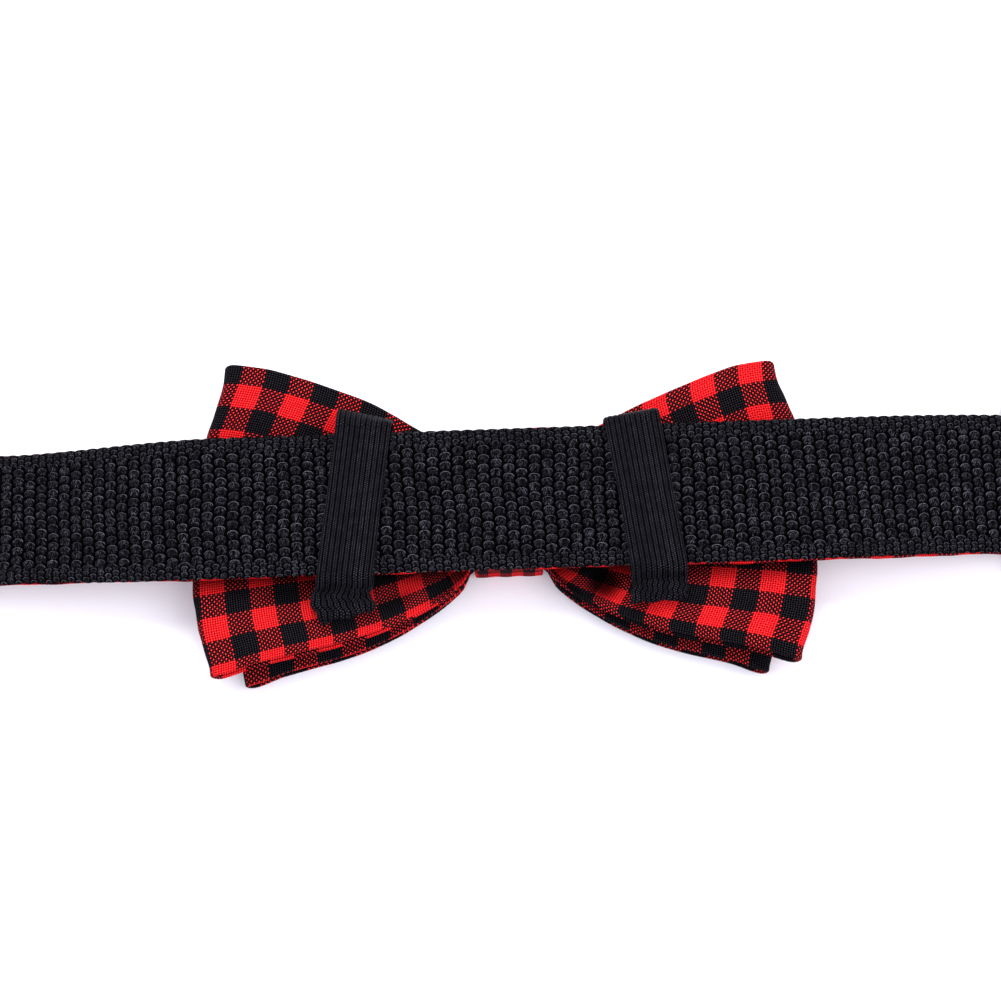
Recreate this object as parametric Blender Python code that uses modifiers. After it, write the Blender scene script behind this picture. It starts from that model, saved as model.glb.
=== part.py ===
"""Pet bow tie collar, lying open and face down, as seen from its neck side.

Metres, +Z up. +X runs along the strap and +Y across it. The origin is on the flat
front face of the knot, which lies on the surface that the collar rests on.
"""
import math

import bmesh
import bpy
from mathutils import Matrix, Vector

# Strap and its patterned facing
STRAP_WIDTH = 0.025
WEBBING_THICK = 0.0016
FACING_INSET = 0.0001
FACING_THICK = 0.0010
LEFT_BAR_X = -0.165
RIGHT_BAR_X = 0.190
LEFT_TAIL = 0.034
RIGHT_TAIL = 0.017
FACING_SET_BACK = 0.013
FLOOR_CLEARANCE = 0.0005

# Bow, made of two loops of cloth, one behind the other
CLOTH_THICK = 0.0010
BACK_BOW_HALF_LENGTH = 0.0547
BACK_BOW_HALF_HEIGHT = 0.0275
BACK_BOW_HOLLOW = 0.0030
FRONT_BOW_HALF_LENGTH = 0.0489
FRONT_BOW_HALF_HEIGHT = 0.0275
FRONT_BOW_HOLLOW = 0.0022
FRONT_BOW_DROP = 0.0010
FRONT_BOW_LIFT = 0.0002

# Gathers at the middle, and the knot round them
GATHER_HALF_HEIGHT = 0.0099
GATHER_PITCH = 0.00155
GATHER_DEPTH = 0.0006
GATHER_FOLDS = 3
GATHER_REACH = 0.027
COLUMNS_IN_KNOT = 2
PLEAT_SLACK = 0.65
TIP_CROWDING = 1.25
DENT_STRETCH = 2.6
KNOT_WIDTH = 0.0120
KNOT_THICK = 0.0011
KNOT_CORNER = 0.0011

# Elastic loops
ELASTIC_WIDTH = 0.0097
ELASTIC_THICK = 0.0010

# Slider and buckle
SLIDER_LENGTH = 0.0224
SLIDER_X = 0.1003
SLIDER_RAIL = 0.0024
SLIDER_BAR_RADIUS = 0.0010
SLIDER_MIDDLE_RADIUS = 0.0012
SLIDER_BAR_INSET = 0.0022
SLIDER_ROUNDING = 0.0005
SLIDER_BAR_LIFT = 1.2
SLIDER_ARCH = 1.5
BUCKLE_ARM = 0.0034
BUCKLE_ROUNDING = 0.0012
BUCKLE_BAR_RADIUS = 0.0015
BUCKLE_WINDOW = 0.0046
BUCKLE_SHOULDER = 0.0025
SOCKET_LENGTH = 0.0300
SOCKET_DEPTH = 0.0220
SOCKET_WALL = 0.0022
SOCKET_SIDE = 0.0040
PRONG_BASE = 0.0085
PRONG_REACH = 0.0200
PRONG_PLAY = 0.0005

# Clearances, and how far joined and cutting shapes run on
GAP = 0.0003
SIDE_PLAY = 0.0006
JOIN_OVERLAP = 0.0015
CUTTER_MARGIN = 0.010

# Half height of a wing, from the gathers to the tip, as a share of what it gains
WING_HEIGHTS = (
    # share of the way from knot to tip, gained by left upper edge, right upper edge, lower edges
    (0.00, 0.000, 0.000, 0.000),
    (0.05, 0.050, 0.040, 0.170),
    (0.19, 0.260, 0.215, 0.445),
    (0.35, 0.525, 0.462, 0.640),
    (0.51, 0.700, 0.677, 0.758),
    (0.66, 0.840, 0.838, 0.838),
    (0.82, 0.950, 0.960, 0.925),
    (1.00, 1.000, 1.000, 1.035),
)

# How far each tip reaches, from its lower corner to its upper one
TIP_REACH = (
    # share of half height, left share of length, right share of length
    (-1.0, 0.944, 0.912),
    (-0.7, 0.980, 0.956),
    (-0.4, 1.000, 0.977),
    (0.0, 0.990, 0.970),
    (0.5, 0.954, 0.937),
    (1.0, 0.888, 0.874),
)

# Height of each wing's edges, as a share of the named half height
EDGE_HEIGHTS = {
    # side: upper edge, lower edge
    "left": (0.985, 1.015),
    "right": (0.893, 1.035),
}

# Hollows pressed into the layer of cloth that faces the strap
DENTS = (
    # share of length, share of height, share of length across, share of hollow
    (0.33, -0.62, 0.110, 0.40),
    (-0.36, -0.55, 0.120, 0.30),
    (0.34, 0.66, 0.100, 0.22),
    (-0.34, 0.68, 0.100, 0.22),
    (-0.72, -0.30, 0.200, 0.16),
    (0.74, -0.25, 0.200, 0.16),
)

# Elastic loops: where each crosses the strap, and what stands out past its edges
ELASTICS = (
    # name, then as shares of the bow's half length: x at top, at lower edge, at lower end,
    # then as shares of the elastic's width: nose, slant of nose, ear, slant of ear
    ("elastic_left", -0.448, -0.524, -0.502, 0.27, -0.25, 0.60, 0.24),
    ("elastic_right", 0.406, 0.470, 0.466, 0.12, 0.16, 0.50, 0.04),
)

# Strap's way along its length, as shares of the stretches that it runs over
LEFT_SLOPE_ROWS = (
    # share of the way from bow to left bar, then sideways as a share of the strap's width,
    # share of height left, roll in degrees, facing's shift as a share of the strap's width
    (0.00, 0.000, 1.00, 0.0, 0.020),
    (0.34, 0.046, 0.30, -12.0, 0.050),
    (0.62, 0.080, 0.06, 0.0, 0.024),
    (1.00, 0.096, 0.00, 0.0, 0.000),
)
RIGHT_END_SHIFT = 0.0024
SLIDER_SHIFT = 0.0017
PLATEAU_SHARE = 0.90

# Levels, from the surface up
FRONT_BOW_TOP = FRONT_BOW_LIFT + FRONT_BOW_HOLLOW + 2 * CLOTH_THICK
FRONT_BOW_MID = (FRONT_BOW_LIFT + FRONT_BOW_TOP) / 2
BACK_BOW_TOP = FRONT_BOW_TOP + GAP + BACK_BOW_HOLLOW + 2 * CLOTH_THICK
BACK_BOW_MID = (FRONT_BOW_TOP + GAP + BACK_BOW_TOP) / 2
GATHER_LOWEST = KNOT_THICK + GAP + GATHER_DEPTH + PLEAT_SLACK * CLOTH_THICK
FRONT_GATHER_MID = GATHER_LOWEST + 0.5 * GATHER_PITCH
BACK_GATHER_MID = GATHER_LOWEST + 2.5 * GATHER_PITCH
KNOT_DEPTH = 2 * GATHER_LOWEST + 3 * GATHER_PITCH
ELASTIC_UNDER = BACK_BOW_TOP + GAP + ELASTIC_THICK / 2
STRAP_SEAT = max(ELASTIC_UNDER + ELASTIC_THICK / 2, KNOT_DEPTH)
FACING_DROP = WEBBING_THICK / 2 + GAP + FACING_THICK / 2
STACK_BELOW = FACING_DROP + FACING_THICK / 2
STRAP_HIGH = STRAP_SEAT + GAP + STACK_BELOW
STRAP_LOW = FLOOR_CLEARANCE + STACK_BELOW
LAYER_STEP = WEBBING_THICK + GAP
ELASTIC_OVER = STRAP_HIGH + WEBBING_THICK / 2 + GAP + ELASTIC_THICK / 2
SLIDER_BAR_Z = SLIDER_BAR_LIFT * SLIDER_BAR_RADIUS
SLIDER_OVER = SLIDER_BAR_Z + SLIDER_BAR_RADIUS + GAP + STACK_BELOW
SLIDER_WRAP = SLIDER_MIDDLE_RADIUS + GAP + WEBBING_THICK / 2
SLIDER_MIDDLE_Z = STRAP_LOW + LAYER_STEP + SLIDER_WRAP
SLIDER_BAR_SPAN = SLIDER_LENGTH / 2 - SLIDER_BAR_INSET
BUCKLE_WRAP = BUCKLE_BAR_RADIUS + GAP + WEBBING_THICK / 2
BUCKLE_BAR_Z = STRAP_LOW + BUCKLE_WRAP
INNER_HALF = STRAP_WIDTH / 2 + SIDE_PLAY
BUCKLE_HALF = INNER_HALF + BUCKLE_ARM
LEFT_END_SHIFT = LEFT_SLOPE_ROWS[-1][1] * STRAP_WIDTH

BLACK_WEBBING = ("black_webbing", (0.012, 0.012, 0.016), 0.62)
BLACK_ELASTIC = ("black_elastic", (0.010, 0.010, 0.012), 0.80)
BLACK_PLASTIC = ("black_plastic", (0.015, 0.015, 0.016), 0.35)
CHECK_CLOTH = ("red_black_check", (0.42, 0.020, 0.020), 0.90)


def clear_scene():
    for obj in list(bpy.data.objects):
        bpy.data.objects.remove(obj, do_unlink=True)


def new_collection(name, helper=False):
    collection = bpy.data.collections.new(name)
    collection.hide_render = helper
    bpy.context.scene.collection.children.link(collection)
    return collection


def give_material(obj, finish):
    name, colour, roughness = finish
    material = bpy.data.materials.get(name) or bpy.data.materials.new(name)
    material.use_nodes = True
    shader = material.node_tree.nodes["Principled BSDF"]
    shader.inputs["Base Color"].default_value = (*colour, 1.0)
    shader.inputs["Roughness"].default_value = roughness
    shader.inputs["Metallic"].default_value = 0.0
    obj.data.materials.append(material)


def as_object(bm, name, collection):
    mesh = bpy.data.meshes.new(name)
    bm.to_mesh(mesh)
    bm.free()
    obj = bpy.data.objects.new(name, mesh)
    collection.objects.link(obj)
    return obj


def smooth_row(rows, at, column):
    """A smooth curve through one column of a table, with no overshoot between its rows."""
    xs = [row[0] for row in rows]
    ys = [row[column] for row in rows]
    if at <= xs[0]:
        return ys[0]
    if at >= xs[-1]:
        return ys[-1]
    steps = [(b - a) for a, b in zip(xs, xs[1:])]
    rises = [(b - a) / step for a, b, step in zip(ys, ys[1:], steps)]
    slopes = [0.0]
    for before, after in zip(rises, rises[1:]):
        both = before * after
        slopes.append(2 * both / (before + after) if both > 0 else 0.0)
    slopes.append(0.0)
    i = max(k for k in range(len(steps)) if xs[k] <= at)
    t = (at - xs[i]) / steps[i]
    held = ys[i] * (1 + 2 * t) * (1 - t) ** 2 + ys[i + 1] * t * t * (3 - 2 * t)
    return held + steps[i] * t * (1 - t) * (slopes[i] * (1 - t) - slopes[i + 1] * t)


def ease(t):
    t = min(max(t, 0.0), 1.0)
    return t * t * (3 - 2 * t)


def spread(start, end, count):
    return [start + (end - start) * k / count for k in range(count)]


def arc(centre, radius, start, end, count):
    """Points on an arc, with angles in degrees from the first axis towards the second."""
    angles = [math.radians(a) for a in spread(start, end, count)]
    return [(centre[0] + radius * math.cos(a), centre[1] + radius * math.sin(a)) for a in angles]


def rounded_loop(corners, segments):
    """A closed outline whose corners, given with their radii, are turned into arcs."""
    points = []
    for k, (first, second, radius) in enumerate(corners):
        here = Vector((first, second))
        before = Vector(corners[k - 1][:2]) - here
        after = Vector(corners[(k + 1) % len(corners)][:2]) - here
        half = before.angle(after) / 2
        back = min(radius / math.tan(half), 0.48 * before.length, 0.48 * after.length)
        start = here + before.normalized() * back
        end = here + after.normalized() * back
        for step in range(segments + 1):
            t = step / segments
            points.append(tuple(start * (1 - t) ** 2 + here * 2 * t * (1 - t) + end * t * t))
    return points


def subdivided(loop, longest):
    """The same closed outline with points added along its long straight stretches."""
    points = []
    for here, after in zip(loop, loop[1:] + loop[:1]):
        pieces = max(1, round(math.dist(here, after) / longest))
        points += [tuple(Vector(here).lerp(Vector(after), k / pieces)) for k in range(pieces)]
    return points


def cloth(name, collection, finish, counts, thick, place, closed=False):
    """A sheet whose grid is placed by a function of its two shares, then given its thickness."""
    along, across = counts
    bm = bmesh.new()
    bmesh.ops.create_grid(bm, x_segments=along, y_segments=across, size=0.5)
    for vert in bm.verts:
        vert.co = place(vert.co.x + 0.5, vert.co.y + 0.5)
    if closed:
        bmesh.ops.remove_doubles(bm, verts=bm.verts, dist=1e-6)
    obj = as_object(bm, name, collection)
    solidify = obj.modifiers.new("Thickness", "SOLIDIFY")
    solidify.thickness = thick
    solidify.offset = 0.0
    solidify.use_even_offset = True
    obj.data.shade_smooth()
    give_material(obj, finish)
    return obj


def block(name, low, high, collection, bevel=0.0):
    bm = bmesh.new()
    bmesh.ops.create_cube(bm, size=1.0)
    low, high = Vector(low), Vector(high)
    bmesh.ops.scale(bm, vec=high - low, verts=bm.verts)
    bmesh.ops.translate(bm, vec=(low + high) / 2, verts=bm.verts)
    obj = as_object(bm, name, collection)
    if bevel:
        rounding = obj.modifiers.new("Rounding", "BEVEL")
        rounding.width = bevel
        rounding.segments = 3
    return obj


def bar_along_y(name, x, z, radius, half, middle, collection):
    bm = bmesh.new()
    bmesh.ops.create_cone(
        bm, cap_ends=True, segments=14, radius1=radius, radius2=radius, depth=2 * half
    )
    bmesh.ops.rotate(bm, matrix=Matrix.Rotation(math.pi / 2, 3, "X"), verts=bm.verts)
    bmesh.ops.translate(bm, vec=(x, middle, z), verts=bm.verts)
    return as_object(bm, name, collection)


def outline_solid(name, points, depth, place, collection):
    """A flat outline made solid: a filled 2D curve turned into a mesh, in the plane of place."""
    curve = bpy.data.curves.new(name + "_outline", "CURVE")
    curve.dimensions = "2D"
    curve.fill_mode = "BOTH"
    curve.extrude = depth / 2
    spline = curve.splines.new("POLY")
    spline.points.add(len(points) - 1)
    for point, (a, b) in zip(spline.points, points):
        point.co = (a, b, 0.0, 1.0)
    spline.use_cyclic_u = True
    guide = bpy.data.objects.new(name + "_guide", curve)
    collection.objects.link(guide)
    bpy.context.view_layer.update()
    graph = bpy.context.evaluated_depsgraph_get()
    mesh = bpy.data.meshes.new_from_object(guide.evaluated_get(graph))
    bpy.data.objects.remove(guide, do_unlink=True)
    bm = bmesh.new()
    bm.from_mesh(mesh)
    bpy.data.meshes.remove(mesh)
    bmesh.ops.remove_doubles(bm, verts=bm.verts, dist=1e-6)
    bmesh.ops.transform(bm, matrix=place, verts=bm.verts)
    bmesh.ops.recalc_face_normals(bm, faces=bm.faces)
    return as_object(bm, name, collection)


def combine(obj, other, operation):
    other.display_type = "WIRE"
    other.hide_render = True
    change = obj.modifiers.new(other.name, "BOOLEAN")
    change.operation = operation
    change.solver = "EXACT"
    change.object = other


def strap_rows():
    """The strap's way: x, sideways place, height of the webbing, roll and shift of the facing."""
    flat = PLATEAU_SHARE * BACK_BOW_HALF_LENGTH
    rows = []
    for share, side, height, roll, shift in reversed(LEFT_SLOPE_ROWS):
        x = -flat + share * (LEFT_BAR_X + flat)
        z = STRAP_LOW + height * (STRAP_HIGH - STRAP_LOW)
        rows.append((x, side * STRAP_WIDTH, z, math.radians(roll), shift * STRAP_WIDTH))
    first_bar = SLIDER_X - SLIDER_BAR_SPAN
    last_bar = SLIDER_X + SLIDER_BAR_SPAN
    beyond = last_bar + SLIDER_LENGTH
    rows.append((flat, 0.0, STRAP_HIGH, 0.0, 0.0))
    rows.append((first_bar, SLIDER_SHIFT, SLIDER_OVER, 0.0, 0.0))
    rows.append((SLIDER_X, SLIDER_SHIFT, STRAP_LOW, 0.0, 0.0))
    rows.append((last_bar, SLIDER_SHIFT, SLIDER_OVER, 0.0, 0.0))
    rows.append((beyond, (SLIDER_SHIFT + RIGHT_END_SHIFT) / 2, STRAP_LOW, 0.0, 0.0))
    rows.append((RIGHT_BAR_X, RIGHT_END_SHIFT, STRAP_LOW, 0.0, 0.0))
    return rows


def main_run(rows, start, end):
    """Points along the strap's single layer, closer together where it bends more."""
    first_bar = SLIDER_X - SLIDER_BAR_SPAN
    last_bar = SLIDER_X + SLIDER_BAR_SPAN
    flat = PLATEAU_SHARE * BACK_BOW_HALF_LENGTH
    stations = [start, -flat, flat, first_bar, last_bar, last_bar + SLIDER_LENGTH, end]
    counts = (20, 6, 10, 16, 8, 8)
    xs = []
    for a, b, count in zip(stations, stations[1:], counts):
        xs += spread(a, b, count)
    xs.append(end)
    return [(x, smooth_row(rows, x, 2)) for x in xs]


def webbing_path(rows):
    """The whole ribbon from its left tail, round both buckle bars, to the slider's middle bar."""

    def over(x, layers):
        return smooth_row(rows, x, 2) + layers * LAYER_STEP

    def peel(x, bar_x, height):
        """Height of a folded layer as it closes on the one below it, away from a bar."""
        closing = ease(abs(x - bar_x) / (5 * BUCKLE_WRAP))
        return height + (over(x, 1) - height) * closing

    top = BUCKLE_BAR_Z + BUCKLE_WRAP
    tail_xs = spread(LEFT_BAR_X + LEFT_TAIL, LEFT_BAR_X, 10)
    path = [(x, peel(x, LEFT_BAR_X, top)) for x in tail_xs]
    path += arc((LEFT_BAR_X, BUCKLE_BAR_Z), BUCKLE_WRAP, 90, 270, 9)
    path += main_run(rows, LEFT_BAR_X, RIGHT_BAR_X)[:-1]
    path += arc((RIGHT_BAR_X, BUCKLE_BAR_Z), BUCKLE_WRAP, -90, 90, 9)
    last_bar = SLIDER_X + SLIDER_BAR_SPAN
    back_xs = spread(RIGHT_BAR_X, last_bar, 16) + spread(last_bar, SLIDER_X, 7)
    path += [(x, peel(x, RIGHT_BAR_X, top)) for x in back_xs]
    path += arc((SLIDER_X, SLIDER_MIDDLE_Z), SLIDER_WRAP, 270, 90, 9)
    over_bar = SLIDER_MIDDLE_Z + SLIDER_WRAP
    for x in spread(SLIDER_X, SLIDER_X + RIGHT_TAIL, 8) + [SLIDER_X + RIGHT_TAIL]:
        closing = ease((x - SLIDER_X) / SLIDER_BAR_SPAN - 0.1)
        path.append((x, over_bar + (over(x, 2) - over_bar) * closing))
    return path


def ribbon(name, collection, finish, path, rows, width, thick, drop, shifted, across):
    """A flat band along a path in X and Z, carried sideways and rolled as its rows say."""

    def place(u, v):
        at = round(u * (len(path) - 1))
        before, here, after = (path[min(max(at + k, 0), len(path) - 1)] for k in (-1, 0, 1))
        slope = math.atan2(after[1] - before[1], after[0] - before[0])
        roll = smooth_row(rows, here[0], 3)
        reach = (v - 0.5) * width + (smooth_row(rows, here[0], 4) if shifted else 0.0)
        down = drop * math.cos(roll)
        return Vector((
            here[0] + down * math.sin(slope),
            smooth_row(rows, here[0], 1) + reach * math.cos(roll) + drop * math.sin(roll),
            here[1] + reach * math.sin(roll) - down * math.cos(slope),
        ))

    return cloth(name, collection, finish, (len(path) - 1, across), thick, place)


def edge_column(x, y):
    """Column of the wings' table for the edge on one side of the middle, and above or below it."""
    if y <= 0:
        return 3
    return 1 if x < 0 else 2


def gather(x, y):
    """Height of the pleats that run out of the knot, the same for every layer of cloth."""
    outward = ease((abs(x) - KNOT_WIDTH / 2) / GATHER_REACH)
    column = edge_column(x, y)
    half = wing_half_height(abs(x), BACK_BOW_HALF_LENGTH, BACK_BOW_HALF_HEIGHT, column)
    return GATHER_DEPTH * (1 - outward) * math.cos(GATHER_FOLDS * math.pi * y / half)


def wing_half_height(away, half_length, half_height, column):
    """Half height of a wing at a distance from the middle: the gathers' as far as the knot's side."""
    start = KNOT_WIDTH / 2 + GAP
    gained = smooth_row(WING_HEIGHTS, (away - start) / (half_length - start), column)
    return GATHER_HALF_HEIGHT + (half_height - GATHER_HALF_HEIGHT) * gained


def bow(name, collection, half_length, half_height, hollow, mid, gather_mid, drop, dents, counts):
    """One closed loop of cloth, pinched at its middle and turned back on itself at both tips."""
    half_apart = (hollow + CLOTH_THICK) / 2
    turn = half_apart / half_length
    knot_side = (KNOT_WIDTH / 2 + GAP) / half_length
    inside_knot = 4 * COLUMNS_IN_KNOT / counts[0]

    def outwards(part):
        """Share of the half length: a few columns under the knot, then closer towards the tip."""
        if part <= inside_knot:
            return knot_side * part / inside_knot
        past_knot = (part - inside_knot) / (1 - inside_knot)
        return knot_side + (1 - knot_side) * math.sin(math.pi / 2 * past_knot) ** TIP_CROWDING

    def place(u, v):
        layer = 1 if u < 0.5 else -1
        part = 1 - 4 * u if layer > 0 else 4 * u - 3
        along = math.copysign(outwards(abs(part)), part)
        side = "left" if along < 0 else "right"
        height = 2 * v - 1
        reach = smooth_row(TIP_REACH, height, 1 if along < 0 else 2)
        x = half_length * along * (1 + (reach - 1) * along * along)
        upper, lower = EDGE_HEIGHTS[side]
        edge = upper if height > 0 else lower
        outward = ease((abs(x) - KNOT_WIDTH / 2) / GATHER_REACH)
        edge = 1 + (edge - 1) * outward
        column = edge_column(along, height)
        tall = wing_half_height(abs(along) * half_length, half_length, half_height, column)
        y = height * edge * tall - drop * outward
        apart = GATHER_PITCH / 2 + (half_apart - GATHER_PITCH / 2) * outward
        past = max(0.0, (abs(along) - (1 - turn)) / turn)
        apart *= math.sqrt(max(0.0, 1 - past * past))
        level = gather_mid + (mid - gather_mid) * outward + gather(x, y)
        z = level + layer * apart
        if dents and layer > 0:
            for share, tall, wide, deep in DENTS:
                away = math.hypot((along - share) / wide, (height - tall) / (DENT_STRETCH * wide))
                z -= hollow * deep * math.exp(-away * away) * outward
        return Vector((x, y, z))

    return cloth(name, collection, CHECK_CLOTH, counts, CLOTH_THICK, place, closed=True)


def knot(collection):
    """A short band of cloth wrapped round the gathers, with a flat front face."""
    tall = GATHER_HALF_HEIGHT + GAP + KNOT_THICK / 2
    low = KNOT_THICK / 2
    high = KNOT_DEPTH - KNOT_THICK / 2
    corners = [(tall, low, KNOT_CORNER), (tall, high, KNOT_CORNER)]
    corners += [(-tall, high, KNOT_CORNER), (-tall, low, KNOT_CORNER)]
    loop = rounded_loop(corners, 4)

    def place(u, v):
        y, z = loop[round(u * len(loop)) % len(loop)]
        return Vector(((v - 0.5) * KNOT_WIDTH, y, z))

    return cloth("knot", collection, CHECK_CLOTH, (len(loop), 4), KNOT_THICK, place, closed=True)


def elastic(row, collection):
    """A flat loop of elastic round the strap, with its slack folded flat below the lower edge."""
    name = row[0]
    x_top, x_edge, x_end = (share * BACK_BOW_HALF_LENGTH for share in row[1:4])
    nose, nose_slant, ear, ear_slant = (share * ELASTIC_WIDTH for share in row[4:])
    edge = STRAP_WIDTH / 2 + GAP + ELASTIC_THICK / 2
    ear_top = ELASTIC_UNDER + ELASTIC_THICK + GAP
    middle = (ELASTIC_UNDER + ELASTIC_OVER) / 2
    corners = [
        # y, z, radius
        (edge + 0.35 * nose, ELASTIC_OVER, 1.6 * ELASTIC_THICK),
        (edge + nose, middle, 1.2 * ELASTIC_THICK),
        (edge + 0.55 * nose, ELASTIC_UNDER, 0.8 * ELASTIC_THICK),
        (-edge - ear, ELASTIC_UNDER, 0.7 * ELASTIC_THICK),
        (-edge - ear, ear_top, 0.7 * ELASTIC_THICK),
        (-edge - 0.22 * ear, ear_top + GAP, ELASTIC_THICK),
        (-edge - 0.5 * GAP, ELASTIC_OVER, ELASTIC_THICK),
    ]
    loop = subdivided(rounded_loop(corners, 4), STRAP_WIDTH / 6)

    def place(u, v):
        y, z = loop[round(u * len(loop)) % len(loop)]
        across = v - 0.5
        if y > -edge:
            centre = x_edge + (x_top - x_edge) * (y + edge) / (2 * edge)
            y += across * nose_slant * ease((y - STRAP_WIDTH / 2) / (edge + nose - STRAP_WIDTH / 2))
        else:
            centre = x_edge + (x_end - x_edge) * ease((-edge - y) / ear)
            y += across * ear_slant * ease((-edge - y) / ear)
        return Vector((centre + across * ELASTIC_WIDTH, y, z))

    return cloth(name, collection, BLACK_ELASTIC, (len(loop), 4), ELASTIC_THICK, place, closed=True)


def slider(collection, helpers):
    """A three-bar slider: low outer bars, and a middle bar raised between arched rails."""
    middle = SLIDER_SHIFT
    half = SLIDER_LENGTH / 2
    low_top = SLIDER_BAR_Z + SLIDER_BAR_RADIUS + 0.3 * SLIDER_RAIL
    high_top = SLIDER_MIDDLE_Z + SLIDER_MIDDLE_RADIUS
    tip = low_top / 2
    side = arc((-half + tip, tip), tip, 90, 270, 8)
    side += arc((half - tip, tip), tip, -90, 90, 8) + [(half - tip, low_top)]
    arch = [k / 8 for k in range(1, 8)]
    span = half - tip
    for t in arch:
        lift = math.sin(math.pi * t) ** SLIDER_ARCH
        side.append((span - 2 * span * t, low_top + (high_top - low_top) * lift))
    rails = []
    for sign, label in ((-1, "slider"), (1, "slider_far_rail")):
        centre = middle + sign * (INNER_HALF + SLIDER_RAIL / 2)
        place = Matrix.Translation((SLIDER_X, centre, 0.0)) @ Matrix.Rotation(math.pi / 2, 4, "X")
        where = collection if sign < 0 else helpers
        rail = outline_solid(label, side, SLIDER_RAIL, place, where)
        rounding = rail.modifiers.new("Rounding", "BEVEL")
        rounding.width = SLIDER_ROUNDING
        rounding.segments = 2
        rounding.angle_limit = math.radians(60)
        rails.append(rail)
    reach = INNER_HALF + SLIDER_RAIL / 2
    bars = (
        ("slider_bar_a", -SLIDER_BAR_SPAN, SLIDER_BAR_Z, SLIDER_BAR_RADIUS),
        ("slider_bar_b", 0.0, SLIDER_MIDDLE_Z, SLIDER_MIDDLE_RADIUS),
        ("slider_bar_c", SLIDER_BAR_SPAN, SLIDER_BAR_Z, SLIDER_BAR_RADIUS),
    )
    for label, offset, z, radius in bars:
        bar = bar_along_y(label, SLIDER_X + offset, z, radius, reach, middle, helpers)
        combine(rails[0], bar, "UNION")
    combine(rails[0], rails[1], "UNION")
    give_material(rails[0], BLACK_PLASTIC)
    return rails[0]


def buckle_frame(name, bar_x, middle, out, base, collection, helpers):
    """The end of a buckle half that the strap turns round: a bar between two arms."""
    ends = sorted((bar_x - out * BUCKLE_SHOULDER, bar_x + out * (BUCKLE_WINDOW + base)))
    top = 2 * BUCKLE_BAR_Z
    body = block(
        name,
        (ends[0], middle - BUCKLE_HALF, 0.0),
        (ends[1], middle + BUCKLE_HALF, top),
        collection,
        BUCKLE_ROUNDING,
    )
    cut = sorted((bar_x - out * CUTTER_MARGIN, bar_x + out * BUCKLE_WINDOW))
    window = block(
        name + "_window",
        (cut[0], middle - INNER_HALF, -CUTTER_MARGIN),
        (cut[1], middle + INNER_HALF, top + CUTTER_MARGIN),
        helpers,
    )
    combine(body, window, "DIFFERENCE")
    reach = INNER_HALF + JOIN_OVERLAP
    bar = bar_along_y(name + "_bar", bar_x, BUCKLE_BAR_Z, BUCKLE_BAR_RADIUS, reach, middle, helpers)
    combine(body, bar, "UNION")
    give_material(body, BLACK_PLASTIC)
    return body


def buckle_socket(collection, helpers):
    """The half with the mouth: hollow, with a window in each side for a prong to spring into."""
    middle = RIGHT_END_SHIFT
    body = buckle_frame(
        "buckle_socket", RIGHT_BAR_X, middle, 1, SOCKET_LENGTH, collection, helpers
    )
    mouth = RIGHT_BAR_X + BUCKLE_WINDOW + SOCKET_LENGTH
    half = BUCKLE_HALF - SOCKET_SIDE
    tall = BUCKLE_BAR_Z - SOCKET_WALL
    cavity = block(
        "socket_cavity",
        (mouth - SOCKET_DEPTH, middle - half, BUCKLE_BAR_Z - tall),
        (mouth + CUTTER_MARGIN, middle + half, BUCKLE_BAR_Z + tall),
        helpers,
    )
    combine(body, cavity, "DIFFERENCE")
    reach = BUCKLE_HALF + CUTTER_MARGIN
    sides = block(
        "socket_side_windows",
        (mouth - 0.75 * SOCKET_DEPTH, middle - reach, BUCKLE_BAR_Z - 0.8 * tall),
        (mouth - 0.32 * SOCKET_DEPTH, middle + reach, BUCKLE_BAR_Z + 0.8 * tall),
        helpers,
    )
    combine(body, sides, "DIFFERENCE")
    return body


def buckle_prongs(collection, helpers):
    """The half that goes into the socket: two springy prongs beside a middle tongue."""
    middle = LEFT_END_SHIFT
    body = buckle_frame("buckle_prongs", LEFT_BAR_X, middle, -1, PRONG_BASE, collection, helpers)
    front = LEFT_BAR_X - BUCKLE_WINDOW - PRONG_BASE
    half = BUCKLE_HALF - SOCKET_SIDE - PRONG_PLAY
    thick = 2 * (BUCKLE_BAR_Z - SOCKET_WALL - PRONG_PLAY)
    root = -0.25 * PRONG_BASE
    prong = [
        (root, 0.72 * half),
        (0.90 * PRONG_REACH, 0.72 * half),
        (PRONG_REACH, 0.80 * half),
        (PRONG_REACH, 0.92 * half),
        (0.62 * PRONG_REACH, 1.22 * half),
        (0.56 * PRONG_REACH, 1.22 * half),
        (0.52 * PRONG_REACH, 0.97 * half),
        (root, 1.00 * half),
    ]
    tongue = [
        (root, -0.16 * half),
        (0.94 * PRONG_REACH, -0.16 * half),
        (PRONG_REACH, -0.08 * half),
        (PRONG_REACH, 0.08 * half),
        (0.94 * PRONG_REACH, 0.16 * half),
        (root, 0.16 * half),
    ]
    place = Matrix.Translation((front, middle, BUCKLE_BAR_Z)) @ Matrix.Scale(-1, 4, (1, 0, 0))
    flipped = [(x, -y) for x, y in prong]
    for label, outline in (("prong_a", prong), ("prong_b", flipped), ("tongue", tongue)):
        combine(body, outline_solid(label, outline, thick, place, helpers), "UNION")
    return body


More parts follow.
